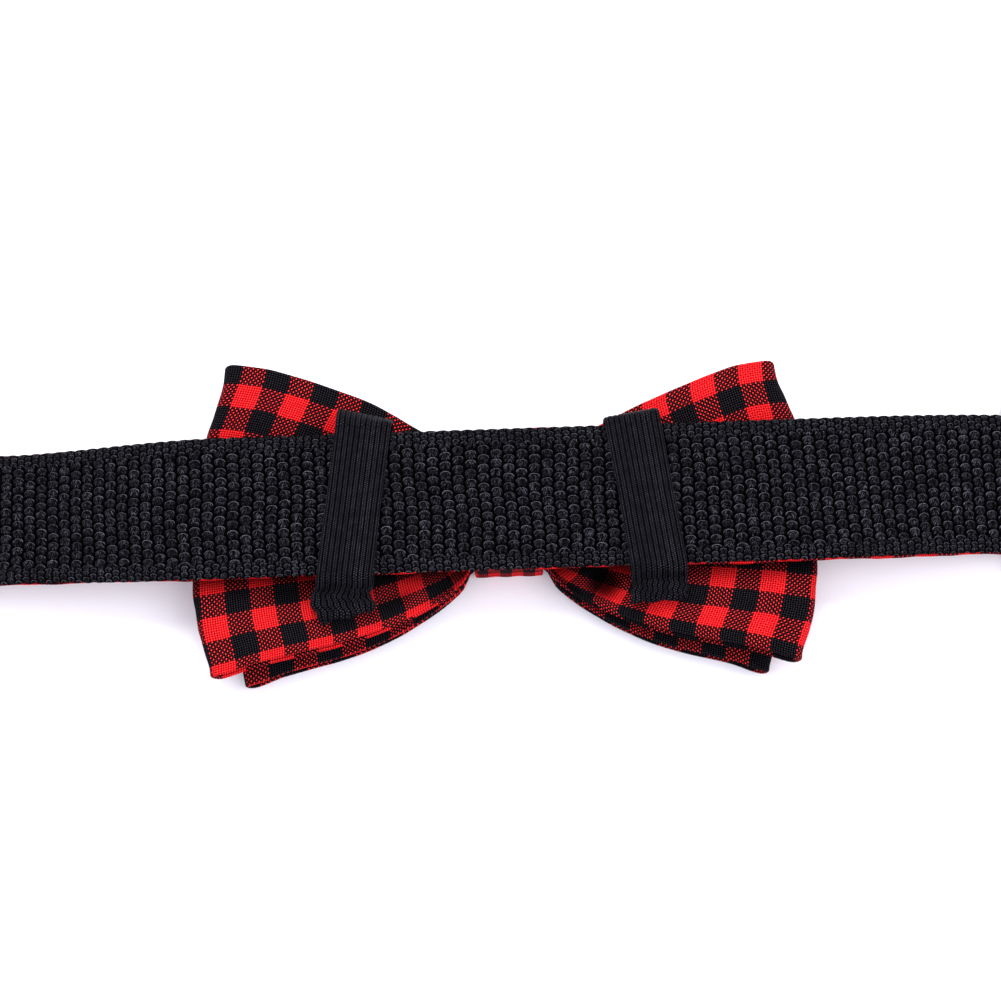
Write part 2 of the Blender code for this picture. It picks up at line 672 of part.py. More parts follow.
def main():
    clear_scene()
    parts = new_collection("pet_bow_tie_collar")
    helpers = new_collection("cutters", helper=True)
    rows = strap_rows()
    ribbon("strap_webbing", parts, BLACK_WEBBING, webbing_path(rows), rows,
           STRAP_WIDTH, WEBBING_THICK, 0.0, False, 2)
    facing = main_run(rows, LEFT_BAR_X + FACING_SET_BACK, RIGHT_BAR_X - FACING_SET_BACK)
    ribbon("plaid_facing", parts, CHECK_CLOTH, facing, rows,
           STRAP_WIDTH - 2 * FACING_INSET, FACING_THICK, FACING_DROP, True, 2)
    bow("back_bow", parts, BACK_BOW_HALF_LENGTH, BACK_BOW_HALF_HEIGHT, BACK_BOW_HOLLOW,
        BACK_BOW_MID, BACK_GATHER_MID, 0.0, True, (60, 14))
    bow("front_bow", parts, FRONT_BOW_HALF_LENGTH, FRONT_BOW_HALF_HEIGHT, FRONT_BOW_HOLLOW,
        FRONT_BOW_MID, FRONT_GATHER_MID, FRONT_BOW_DROP, False, (48, 12))
    knot(parts)
    for row in ELASTICS:
        elastic(row, parts)
    slider(parts, helpers)
    buckle_prongs(parts, helpers)
    buckle_socket(parts, helpers)


main()
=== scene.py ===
import math

import bpy
import numpy as np
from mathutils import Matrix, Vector


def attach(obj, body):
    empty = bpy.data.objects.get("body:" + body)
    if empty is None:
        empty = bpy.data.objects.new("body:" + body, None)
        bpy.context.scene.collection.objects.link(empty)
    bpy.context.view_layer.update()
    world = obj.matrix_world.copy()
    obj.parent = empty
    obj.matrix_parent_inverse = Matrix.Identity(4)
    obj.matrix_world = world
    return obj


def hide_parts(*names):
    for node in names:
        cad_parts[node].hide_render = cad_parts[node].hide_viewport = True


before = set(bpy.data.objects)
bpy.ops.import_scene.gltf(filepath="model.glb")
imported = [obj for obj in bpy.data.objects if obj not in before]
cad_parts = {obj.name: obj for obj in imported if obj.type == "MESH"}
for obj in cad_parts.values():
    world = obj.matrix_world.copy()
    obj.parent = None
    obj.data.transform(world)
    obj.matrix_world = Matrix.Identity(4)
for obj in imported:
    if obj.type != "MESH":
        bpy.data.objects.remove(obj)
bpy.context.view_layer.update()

# Strap, as in the part
STRAP_WIDTH = 0.025
WEBBING_THICK = 0.0016
FACING_THICK = 0.0010
LEFT_BAR_X = -0.165
RIGHT_BAR_X = 0.190
LEFT_TAIL = 0.034
RIGHT_TAIL = 0.017
FACING_SET_BACK = 0.013
FLOOR_CLEARANCE = 0.0005
GAP = 0.0003

# Bow
CLOTH_THICK = 0.0010
BACK_BOW = {"half_length": 0.0547, "half_height": 0.0275, "hollow": 0.0030, "drop": 0.0}
FRONT_BOW = {"half_length": 0.0489, "half_height": 0.0275, "hollow": 0.0022, "drop": 0.0010}
FRONT_BOW_LIFT = 0.0002
GATHER_HALF_HEIGHT = 0.0099
GATHER_PITCH = 0.00155
GATHER_DEPTH = 0.0006
GATHER_FOLDS = 3
GATHER_REACH = 0.027
KNOT_WIDTH = 0.0120
KNOT_THICK = 0.0011
KNOT_CORNER = 0.0011

# Fine relief and meshing of the cloth
CLOTH_SPACING = 0.0007
KNOT_SPACING = 0.00045
KNOT_EDGE_STEP = 0.0004
FOLD_STEPS = 9
PUFF = 0.1
CLOTH_RIPPLES = ((0.00006, 900, 310, 0.0), (0.00005, -420, 1150, 1.3))
PLEAT_DEPTH = 0.00006
PLEAT_PITCH = 0.0041
FACING_PRESSED = 0.9
FACING_WAVES = ((0.00010, 205, 0.0), (0.00006, 520, 1.1), (0.00003, 1310, 0.0))

# Elastic loops and hardware
ELASTIC_WIDTH = 0.0097
ELASTIC_THICK = 0.0010
SLIDER_LENGTH = 0.0224
SLIDER_X = 0.1003
SLIDER_BAR_RADIUS = 0.0010
SLIDER_MIDDLE_RADIUS = 0.0012
SLIDER_BAR_INSET = 0.0022
BUCKLE_BAR_RADIUS = 0.0015

# Ribs of the elastic, and how its folded ears ripple
ELASTIC_RIBS = 10.5
ELASTIC_SPACING = 0.00030
ELASTIC_POINTS = (107, 45)
RIB_DEPTH = 0.00017
RIB_SUNK = 0.00003
LOOP_PITCH_MM = 0.34
EAR_RIPPLE = 0.00018
EAR_WAVE = 0.00016

# Weave of the webbing: columns of floats across it, and the finer zone along its edges
FLOAT_COLUMN_PITCH = 0.00218
FLOAT_PITCH = 0.00170
FLOAT_DEPTH = 0.00048
FLOAT_SHAPE = (0.45, 0.51, 2.6)
SELVEDGE = 0.0026
SELVEDGE_FINER = 1.6
SELVEDGE_BLEND = 0.0006
SELVEDGE_DEPTH = 0.40
SCALLOP_PITCH = 0.00215
SCALLOP_DEPTH = 0.00022
SEALED_END = 0.0012

# Points along each stretch of the strap's path
TAIL_POINTS = 120
TURN_POINTS = 40
RUN_POINTS = 1500
BACK_POINTS = 400
LAST_POINTS = 80

# Stitching
THREAD_RADIUS = 0.00016
STITCH_PITCH = 0.0026
STITCH_INSET = 0.0016
THREAD_SPACING = 0.00032
TAIL_BOX = (0.0025, 0.0185, 0.0085)
TAIL_ROWS_APART = 0.0018

# Check cloth: one red and one black check make a period
CHECK_PERIOD = 0.0083
YARNS_A_PERIOD = 20
YARN_RISE = 0.62
KNOT_CHECK_START = (0.76, 0.563)
FACING_CHECK_START = 0.13

# Photograph's view
PHOTO_SIZE = 1001
TARGET_PIXEL = (507, 499)
TARGET = Vector((0.0, 0.0, 0.013))
VIEW_ELEVATION = 76.0
VIEW_AZIMUTH = -2.0
VIEW_DISTANCE = 0.45
METRES_A_PIXEL = 0.000173
SENSOR = 36.0
FLOOR_DROP = 0.0002

WING_HEIGHTS = (
    # share of the way from knot to tip, gained by left upper edge, right upper edge, lower edges
    (0.00, 0.000, 0.000, 0.000),
    (0.02, 0.020, 0.020, 0.080),
    (0.05, 0.050, 0.040, 0.205),
    (0.19, 0.260, 0.215, 0.455),
    (0.35, 0.525, 0.462, 0.640),
    (0.51, 0.700, 0.677, 0.758),
    (0.66, 0.840, 0.838, 0.838),
    (0.82, 0.950, 0.960, 0.925),
    (1.00, 1.000, 1.000, 1.035),
)

TIP_REACH = (
    # share of half height, left share of length, right share of length
    (-1.0, 0.944, 0.906),
    (-0.7, 0.980, 0.952),
    (-0.4, 1.000, 0.972),
    (0.0, 0.985, 0.966),
    (0.5, 0.951, 0.937),
    (1.0, 0.888, 0.873),
)

EDGE_HEIGHTS = {
    # side: upper edge, lower edge
    "left": (0.985, 1.015),
    "right": (0.893, 1.035),
}

DENTS = (
    # share of length, share of height, share of length across, share of hollow
    (0.33, -0.62, 0.110, 0.40),
    (-0.36, -0.55, 0.120, 0.30),
    (0.34, 0.66, 0.100, 0.22),
    (-0.34, 0.68, 0.100, 0.22),
    (-0.72, -0.30, 0.200, 0.16),
    (0.74, -0.25, 0.200, 0.16),
)

# Painted shade in the bow's folds and hollows, laid into the check's colour
FOLD_SHADES = (
    # share of length, share of height, breadth and length as shares of length, slant, darkness,
    # sharpness of the shade's edge
    (0.298, -0.515, 0.058, 0.060, -0.30, 0.95, 2.5),
    (-0.37, -0.60, 0.030, 0.080, 0.45, 0.55, 1.5),
    (-0.70, -0.54, 0.035, 0.100, 0.05, 0.55, 1.5),
    (0.20, -0.56, 0.018, 0.070, -0.70, 0.60, 1.5),
    (-0.20, -0.58, 0.018, 0.070, 0.75, 0.45, 1.5),
)

# The strap's shadow painted on the bow: darkness below and above it, start under the edge, reach
STRAP_SHADOW = (0.80, 0.35)
SHADOW_INSIDE = 0.0008
SHADOW_REACH = 0.0020

CHECK_PLACES = {
    # name: period along, period across, then for the upper and the lower half: mm from tip to
    # the first red stripe, change towards the fold, and mm from the fold to the first red row
    "back_left": (8.40, 8.20, (1.8, 2.9, 3.85), (2.8, -1.4, -2.1)),
    "back_right": (8.60, 8.17, (7.35, -3.7, 0.0), (5.75, 1.2, 2.7)),
    "front_left": (8.40, 8.25, (1.6, 0.6, 5.8), (1.6, -0.6, 4.4)),
    "front_right": (8.20, 8.10, (3.6, -1.0, -0.15), (3.6, 1.0, 3.1)),
}

ELASTICS = (
    # name, then as shares of the bow's half length: x at top, at lower edge, at lower end,
    # then as shares of the elastic's width: nose, slant of nose, ear, slant of ear,
    # then how far the folded ear swings sideways
    ("elastic_left", -0.448, -0.518, -0.512, 0.27, -0.25, 0.60, 0.24, -0.0011),
    ("elastic_right", 0.406, 0.470, 0.466, 0.12, 0.16, 0.50, 0.04, 0.0003),
)

LEFT_SLOPE_ROWS = (
    # share of the way from bow to left bar, then sideways as a share of the strap's width,
    # share of height left, roll in degrees, facing's shift as a share of the strap's width
    (0.00, 0.000, 1.00, 0.0, 0.010),
    (0.34, 0.046, 0.30, -12.0, 0.026),
    (0.62, 0.080, 0.06, 0.0, 0.010),
    (1.00, 0.096, 0.00, 0.0, 0.000),
)
RIGHT_END_SHIFT = 0.0024
SLIDER_SHIFT = 0.0017
PLATEAU_SHARE = 0.90

# Levels, from the surface up, as in the part
FRONT_BOW_TOP = FRONT_BOW_LIFT + FRONT_BOW["hollow"] + 2 * CLOTH_THICK
BACK_BOW_TOP = FRONT_BOW_TOP + GAP + BACK_BOW["hollow"] + 2 * CLOTH_THICK
GATHER_LOWEST = KNOT_THICK + GAP + GATHER_DEPTH + 0.65 * CLOTH_THICK
FRONT_BOW["mid"] = (FRONT_BOW_LIFT + FRONT_BOW_TOP) / 2
BACK_BOW["mid"] = (FRONT_BOW_TOP + GAP + BACK_BOW_TOP) / 2
FRONT_BOW["gather_mid"] = GATHER_LOWEST + 0.5 * GATHER_PITCH
BACK_BOW["gather_mid"] = GATHER_LOWEST + 2.5 * GATHER_PITCH
KNOT_DEPTH = 2 * GATHER_LOWEST + 3 * GATHER_PITCH
ELASTIC_UNDER = BACK_BOW_TOP + GAP + ELASTIC_THICK / 2
STRAP_SEAT = max(ELASTIC_UNDER + ELASTIC_THICK / 2, KNOT_DEPTH)
FACING_DROP = WEBBING_THICK / 2 + GAP + FACING_THICK / 2
STACK_BELOW = FACING_DROP + FACING_THICK / 2
STRAP_HIGH = STRAP_SEAT + GAP + STACK_BELOW
STRAP_LOW = FLOOR_CLEARANCE + STACK_BELOW
LAYER_STEP = WEBBING_THICK + GAP
ELASTIC_OVER = STRAP_HIGH + WEBBING_THICK / 2 + GAP + ELASTIC_THICK / 2
SLIDER_BAR_Z = 1.2 * SLIDER_BAR_RADIUS
SLIDER_OVER = SLIDER_BAR_Z + SLIDER_BAR_RADIUS + GAP + STACK_BELOW
SLIDER_WRAP = SLIDER_MIDDLE_RADIUS + GAP + WEBBING_THICK / 2
SLIDER_MIDDLE_Z = STRAP_LOW + LAYER_STEP + SLIDER_WRAP
SLIDER_BAR_SPAN = SLIDER_LENGTH / 2 - SLIDER_BAR_INSET
BUCKLE_WRAP = BUCKLE_BAR_RADIUS + GAP + WEBBING_THICK / 2
BUCKLE_BAR_Z = STRAP_LOW + BUCKLE_WRAP


# Curves through tables, and outlines

def smooth_row(rows, at, column):
    """A smooth curve through one column of a table, with no overshoot between its rows."""
    xs = np.array([row[0] for row in rows], float)
    ys = np.array([row[column] for row in rows], float)
    steps = np.diff(xs)
    rises = np.diff(ys) / steps
    both = rises[:-1] * rises[1:]
    total = np.where(both > 0, rises[:-1] + rises[1:], 1.0)
    slopes = np.zeros(len(xs))
    slopes[1:-1] = np.where(both > 0, 2 * both / total, 0.0)
    at = np.clip(np.asarray(at, float), xs[0], xs[-1])
    i = np.clip(np.searchsorted(xs, at, side="right") - 1, 0, len(steps) - 1)
    t = (at - xs[i]) / steps[i]
    held = ys[i] * (1 + 2 * t) * (1 - t) ** 2 + ys[i + 1] * t * t * (3 - 2 * t)
    return held + steps[i] * t * (1 - t) * (slopes[i] * (1 - t) - slopes[i + 1] * t)


def ease(t):
    t = np.clip(t, 0.0, 1.0)
    return t * t * (3 - 2 * t)


def joined(*parts):
    """Arrays that broadcast together, as one array of vectors."""
    return np.stack(np.broadcast_arrays(*parts), -1)


def unit(vectors):
    return vectors / np.maximum(np.linalg.norm(vectors, axis=-1, keepdims=True), 1e-12)


def arc(centre, radius, start, end, count):
    angles = np.radians(np.linspace(start, end, count, endpoint=False))
    return np.stack([centre[0] + radius * np.cos(angles), centre[1] + radius * np.sin(angles)], 1)


def rounded_loop(corners, segments):
    """A closed outline whose corners, given with their radii, are turned into arcs."""
    points = []
    for k, (first, second, radius) in enumerate(corners):
        here = Vector((first, second))
        before = Vector(corners[k - 1][:2]) - here
        after = Vector(corners[(k + 1) % len(corners)][:2]) - here
        half = before.angle(after) / 2
        back = min(radius / math.tan(half), 0.48 * before.length, 0.48 * after.length)
        start = here + before.normalized() * back
        end = here + after.normalized() * back
        for step in range(segments + 1):
            t = step / segments
            points.append(tuple(start * (1 - t) ** 2 + here * 2 * t * (1 - t) + end * t * t))
    return np.array(points)


def outward_of(loop):
    """Unit vectors out of a closed outline."""
    onward = unit(np.roll(loop, -1, 0) - np.roll(loop, 1, 0))
    outward = np.stack([onward[:, 1], -onward[:, 0]], 1)
    turning = np.cross(loop, np.roll(loop, -1, 0)).sum()
    return -outward if turning < 0 else outward


def running(steps):
    """The sum so far, from 0, after each step."""
    return np.concatenate([[0.0], np.cumsum(steps)])


def distances(line):
    return running(np.linalg.norm(np.diff(line, axis=0), axis=1))


def line_at(line, along, at):
    """Points on a line, by their distance along it."""
    return np.stack([np.interp(at, along, line[:, k]) for k in range(line.shape[1])], 1)


def resampled(points, spacing, closed=False):
    """The line with evenly spaced points, how far along each is, and the whole length."""
    line = np.vstack([points, points[:1]]) if closed else points
    along = distances(line)
    count = max(2, round(along[-1] / spacing))
    at = np.linspace(0.0, along[-1], count + (0 if closed else 1), endpoint=not closed)
    return line_at(line, along, at), at, along[-1]


def flat_ring(start, count, turns):
    """Round a flat section with rounded edges: place across it, side, and outwardness."""
    flat = np.linspace(start, -start, count)
    fold = np.linspace(0, math.pi, turns)[1:-1]
    sign = math.copysign(1, -start)
    ring = [(place, 1.0, 0.0) for place in flat]
    ring += [(-start, math.cos(a), sign * math.sin(a)) for a in fold]
    ring += [(place, -1.0, 0.0) for place in flat[::-1]]
    ring += [(start, -math.cos(a), -sign * math.sin(a)) for a in fold]
    return np.array(ring)


def two_faces(half, upper_count, lower_count):
    """Places across the upper and the lower face of a band, and which face each is on."""
    upper = np.linspace(-half, half, upper_count)
    lower = np.linspace(half, -half, lower_count)[1:-1]
    face = np.concatenate([np.ones(len(upper)), -np.ones(len(lower))])
    return np.concatenate([upper, lower])[None, :], face[None, :]


# Meshes

def placed(name, data):
    obj = bpy.data.objects.new(name, data)
    bpy.context.scene.collection.objects.link(obj)
    return obj


def surface(name, points, wrap, facts):
    """A mesh on a grid of points. Facts are vectors for each corner, by name, for its material."""
    nu, nv = points.shape[:2]
    rows = nu if wrap[0] else nu - 1
    columns = nv if wrap[1] else nv - 1
    i, j = np.meshgrid(np.arange(rows), np.arange(columns), indexing="ij")
    around = [(i, j), (i + 1, j), (i + 1, j + 1), (i, j + 1)]
    quads = np.stack([(a % nu) * nv + (b % nv) for a, b in around], -1).reshape(-1, 4)
    flat = points.reshape(-1, 3)
    a, b, c, d = (flat[quads[:, k]] for k in range(4))
    outward = (a * (np.cross(b, c) + np.cross(c, d))).sum() > 0
    order = [0, 1, 2, 3] if outward else [3, 2, 1, 0]
    quads = quads[:, order]
    mesh = bpy.data.meshes.new(name)
    mesh.vertices.add(len(flat))
    mesh.vertices.foreach_set("co", flat.astype(np.float32).reshape(-1))
    mesh.loops.add(quads.size)
    mesh.loops.foreach_set("vertex_index", quads.astype(np.int32).reshape(-1))
    mesh.polygons.add(len(quads))
    mesh.polygons.foreach_set("loop_start", np.arange(0, quads.size, 4, dtype=np.int32))
    for key, grid in facts.items():
        for k in (0, 1):
            if wrap[k] and grid.shape[k] == points.shape[k]:
                grid = np.concatenate([grid, grid.take([0], k)], k)
        values = np.stack([grid[p, q] for p, q in (around[k] for k in order)], 2)
        attribute = mesh.attributes.new(key, "FLOAT_VECTOR", "CORNER")
        attribute.data.foreach_set("vector", values.astype(np.float32).reshape(-1))
    mesh.update(calc_edges=True)
    mesh.shade_smooth()
    return placed(name, mesh)


def finish_piece(obj, material, slot, *nodes):
    obj.data.materials.append(material)
    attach(obj, "root")
    if nodes:
        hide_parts(*nodes)


# Materials

class Graph:
    """Short ways to add nodes to a material."""

    def __init__(self, name, roughness, specular):
        self.material = bpy.data.materials.new(name)
        self.material.use_nodes = True
        self.tree = self.material.node_tree
        self.shader = self.tree.nodes["Principled BSDF"]
        self.shader.inputs["Roughness"].default_value = roughness
        self.shader.inputs["Specular IOR Level"].default_value = specular

    def feed(self, socket, value):
        if isinstance(value, bpy.types.NodeSocket):
            self.tree.links.new(value, socket)
        else:
            socket.default_value = value

    def node(self, kind, values=(), keys=None, **settings):
        """A new node: its settings by name, and its inputs in order or by the keys given."""
        node = self.tree.nodes.new("ShaderNode" + kind)
        for key, value in settings.items():
            setattr(node, key, value)
        for key, value in zip(keys or range(len(values)), values):
            self.feed(node.inputs[key], value)
        return node

    def math(self, operation, *values):
        return self.node("Math", values, operation=operation).outputs[0]

    def fact(self, name):
        vector = self.node("Attribute", attribute_name=name).outputs["Vector"]
        return self.node("SeparateXYZ", (vector,)).outputs

    def vector(self, *values):
        return self.node("CombineXYZ", values).outputs[0]

    def noise(self, vector, scale, detail=2.0, roughness=0.5):
        keys = ("Vector", "Scale", "Detail", "Roughness")
        return self.node("TexNoise", (vector, scale, detail, roughness), keys).outputs["Fac"]

    def random(self, seed, low, high):
        node = self.node("TexWhiteNoise", (seed,), ("W",), noise_dimensions="1D")
        return self.ramp(node.outputs["Value"], 0.0, 1.0, low, high)

    def plus(self, first, second):
        return self.math("ADD", first, second)

    def minus(self, first, second):
        return self.math("SUBTRACT", first, second)

    def times(self, product, *factors):
        for factor in factors:
            product = self.math("MULTIPLY", product, factor)
        return product

    def arch(self, value):
        """An arch of height 1 at 0, which comes down to 0 at a half on either side."""
        return self.math("COSINE", self.times(value, math.pi))

    def mixed(self, factor, first, second):
        return self.plus(first, self.times(self.minus(second, first), factor))

    def blend(self, factor, first, second):
        return self.node("Mix", (factor, first, second), (0, 6, 7), data_type="RGBA").outputs[2]

    def dim(self, colour, factor):
        return self.node("VectorMath", (colour, factor), (0, "Scale"), operation="SCALE").outputs[0]

    def ramp(self, value, low, high, start=0.0, end=1.0):
        return self.node("MapRange", (value, low, high, start, end)).outputs[0]

    def bump(self, height, distance, strength=1.0):
        keys = ("Height", "Distance", "Strength")
        node = self.node("Bump", (height, distance, strength), keys)
        self.feed(self.shader.inputs["Normal"], node.outputs[0])

    def finish(self, colour, roughness=None):
        self.feed(self.shader.inputs["Base Color"], colour)
        if roughness is not None:
            self.feed(self.shader.inputs["Roughness"], roughness)
        return self.material


RED = (0.79, 0.0040, 0.0070, 1.0)
BLACK = (0.0042, 0.0040, 0.0080, 1.0)
# Painted highlight on the check's yarn crowns
CROWN_HIGHLIGHT = (1.0, 0.85, 0.85, 1.0)
# Webbing: painted shade in its gaps, its yarn colour, and its painted highlight
WEBBING_GAP_SHADE = (0.0001, 0.0001, 0.0002, 1.0)
WEBBING_YARN = (0.0037, 0.0036, 0.0050, 1.0)
WEBBING_GLINT = (0.210, 0.206, 0.247, 1.0)
# Elastic: painted shade in its grooves, its yarn colour, and the painted highlight on its loops
ELASTIC_GROOVE_SHADE = (0.0001, 0.0001, 0.0003, 1.0)
ELASTIC_YARN = (0.0026, 0.0025, 0.0034, 1.0)
ELASTIC_GLINT = (0.080, 0.078, 0.096, 1.0)
PAPER = (0.90, 0.895, 0.915)
# Thread: the shaded and the lit side of its turns, painted
THREAD_COLOURS = (0.0006, 0.0006, 0.0008, 1.0), (0.022, 0.021, 0.025, 1.0)
PLASTIC_COLOURS = (0.0040, 0.0040, 0.0046, 1.0), (0.0085, 0.0084, 0.0094, 1.0)


def check_cloth():
    """Plain weave in red and black yarns: a yarn's colour follows its place in the check."""
    g = Graph("check_cloth", 0.85, 0.02)
    along, across, _ = g.fact("cloth")
    period = float(YARNS_A_PERIOD)
    u = g.times(along, period)
    v = g.times(across, period)
    # The folds attribute holds the painted shade of folds and of the strap's shadow, and the wing's
    # side
    shade, side, _ = g.fact("folds")
    way = g.minus(1.0, g.times(side, 2.0))
    wobble = g.noise(g.vector(u, v), 0.35, 1.0)
    wobble = g.times(g.minus(wobble, 0.5), 0.5)
    u = g.plus(u, wobble)
    v = g.minus(v, wobble)
    cell_u = g.math("FLOOR", u)
    cell_v = g.math("FLOOR", v)
    in_u = g.minus(g.minus(u, cell_u), 0.5)
    in_v = g.minus(g.minus(v, cell_v), 0.5)
    parity = g.math("MODULO", g.plus(cell_u, cell_v), 2.0)
    over = g.minus(1.0, g.times(g.math("ABSOLUTE", parity), 2.0))
    lean_v = g.plus(in_v, g.times(in_u, 0.40))
    lean_u = g.plus(in_u, g.times(in_v, way, 0.26))
    warp = g.plus(g.times(over, g.arch(in_v), YARN_RISE), g.arch(lean_u))
    weft = g.minus(g.arch(lean_v), g.times(over, g.arch(in_u), YARN_RISE))
    top = g.math("MAXIMUM", warp, weft)
    warp_shows = g.ramp(g.minus(warp, weft), -0.08, 0.08)
    warp_red = g.math("LESS_THAN", g.math("FLOORED_MODULO", cell_u, period), period / 2)
    weft_red = g.math("LESS_THAN", g.math("FLOORED_MODULO", cell_v, period), period / 2)
    warp_tone = g.random(cell_u, 0.86, 1.08)
    weft_tone = g.random(g.plus(cell_v, 0.37), 0.86, 1.08)
    warp_colour = g.dim(g.blend(warp_red, BLACK, RED), warp_tone)
    weft_colour = g.dim(g.blend(weft_red, BLACK, RED), weft_tone)
    colour = g.blend(warp_shows, weft_colour, warp_colour)
    # Painted shade in the gaps between yarns, deepest outside all-red cells, and a painted
    # highlight up to 1.2 on the yarns' crests
    both_red = g.times(warp_red, weft_red)
    gaps = g.mixed(both_red, 0.03, 0.55)
    colour = g.dim(colour, g.ramp(top, g.mixed(both_red, 1.14, 0.98), 1.45, gaps, 1.20))
    fuzz = g.noise(g.vector(u, v), 2.4)
    shows_red = g.mixed(warp_shows, weft_red, warp_red)
    # Pale flecks on the yarns' crowns: painted highlight, stronger on red
    crown = g.times(g.ramp(top, 1.25, 1.58), g.ramp(fuzz, 0.36, 0.60, 0.30, 1.0))
    crown_highlight = g.times(crown, g.mixed(shows_red, 0.032, 0.085))
    colour = g.blend(crown_highlight, colour, CROWN_HIGHLIGHT)
    # Painted shade of the folds and of the strap's shadow
    colour = g.dim(colour, g.minus(1.0, shade))
    patches = g.noise(g.vector(along, across), 2.2, 3.0)
    colour = g.dim(colour, g.ramp(patches, 0.3, 0.7, 0.90, 1.06))
    g.bump(g.plus(top, g.times(fuzz, 0.35)), 0.00014)
    return g.finish(colour)


def webbing_cloth():
    """Near-black polyester: each float of plied yarn has a crease and a lip; painted shade darkens
    its gaps and crease, and painted highlights light its lip, strands and flecks.
    """
    g = Graph("webbing_cloth", 0.45, 0.009)
    along, across, _ = g.fact("weave")
    column, row, inside = g.fact("floats")
    edge = g.math("LESS_THAN", inside, 0.5)
    finer = g.plus(1.0, g.times(edge, SELVEDGE_FINER - 1))
    column = g.times(column, finer)
    row = g.times(row, finer)
    wide, tall, power = FLOAT_SHAPE
    cells = []
    for odd in (0.0, 0.5):
        shifted = g.minus(column, odd)
        number = g.math("ROUND", shifted)
        a = g.times(g.minus(shifted, number), 2.0)
        shifted_row = g.plus(row, odd)
        row_number = g.math("ROUND", shifted_row)
        b = g.minus(shifted_row, row_number)
        far_a = g.math("POWER", g.math("DIVIDE", g.math("ABSOLUTE", a), wide), power)
        far_b = g.math("POWER", g.math("DIVIDE", g.math("ABSOLUTE", b), tall), power)
        shape = g.minus(1.0, g.plus(far_a, far_b))
        seed = g.plus(g.times(number, 17.3), g.times(row_number, 3.7))
        cells.append((shape, a, b, g.plus(seed, odd)))
    second = g.math("GREATER_THAN", cells[1][0], cells[0][0])
    shape, a, b, seed = (g.mixed(second, first, other) for first, other in zip(*cells))
    crest = g.math("SQRT", g.math("MAXIMUM", shape, 0.0))

    bow_out = g.times(b, b, -0.7)
    crease_at = g.plus(g.random(seed, -0.06, 0.20), bow_out)
    crease = g.ramp(g.math("ABSOLUTE", g.minus(a, crease_at)), 0.02, 0.15, 0.22, 1.0)
    half = g.math("SIGN", g.minus(a, crease_at))
    lean = g.times(b, half, 5.0)
    strand_place = g.plus(g.times(a, 13.0), g.plus(lean, seed))
    strands = g.noise(g.vector(strand_place, g.times(b, 2.0), seed), 1.0, 3.0, 0.6)
    # Painted highlight on each float's upper lip
    lip = g.times(
        g.ramp(crest, 0.22, 0.36), g.ramp(crest, 0.58, 0.44), g.ramp(b, 0.08, 0.30),
        g.random(g.plus(seed, 0.41), 0.45, 1.15), g.ramp(strands, 0.36, 0.56, 0.15, 1.0),
    )
    # Painted highlight on strands towards each float's sides
    side_light = g.random(g.plus(seed, 0.77), 0.22, 0.46)
    side = g.times(g.ramp(strands, 0.56, 0.68), g.ramp(crest, 0.45, 0.85), side_light)

    relief = g.times(crest, crease)
    millimetres = g.vector(along, across)
    flecks = g.noise(millimetres, 5.6, 3.0, 0.65)
    patches = g.noise(millimetres, 0.30)
    # Yarn colour darkened in the gaps and along the crease: painted shade, streaked along the
    # strands
    tone = g.times(g.math("POWER", relief, 1.4), g.ramp(strands, 0.36, 0.64, 0.10, 1.65))
    base = g.blend(tone, WEBBING_GAP_SHADE, WEBBING_YARN)
    # Painted glints on flecks of the raised weave, joined with the lip and side highlights and
    # varied in patches
    glint = g.times(g.ramp(flecks, 0.60, 0.72), g.ramp(relief, 0.2, 0.7, 0.0, 0.8))
    glint = g.plus(glint, g.plus(lip, side))
    glint = g.times(glint, g.ramp(patches, 0.35, 0.65, 0.65, 1.0))
    colour = g.blend(glint, base, WEBBING_GLINT)
    bumps = g.plus(g.times(relief, 1.2), g.times(strands, 0.5))
    bumps = g.plus(bumps, g.times(flecks, 0.3))
    g.bump(bumps, 0.00020)
    return g.finish(colour, g.ramp(flecks, 0.3, 0.7, 0.60, 0.42))


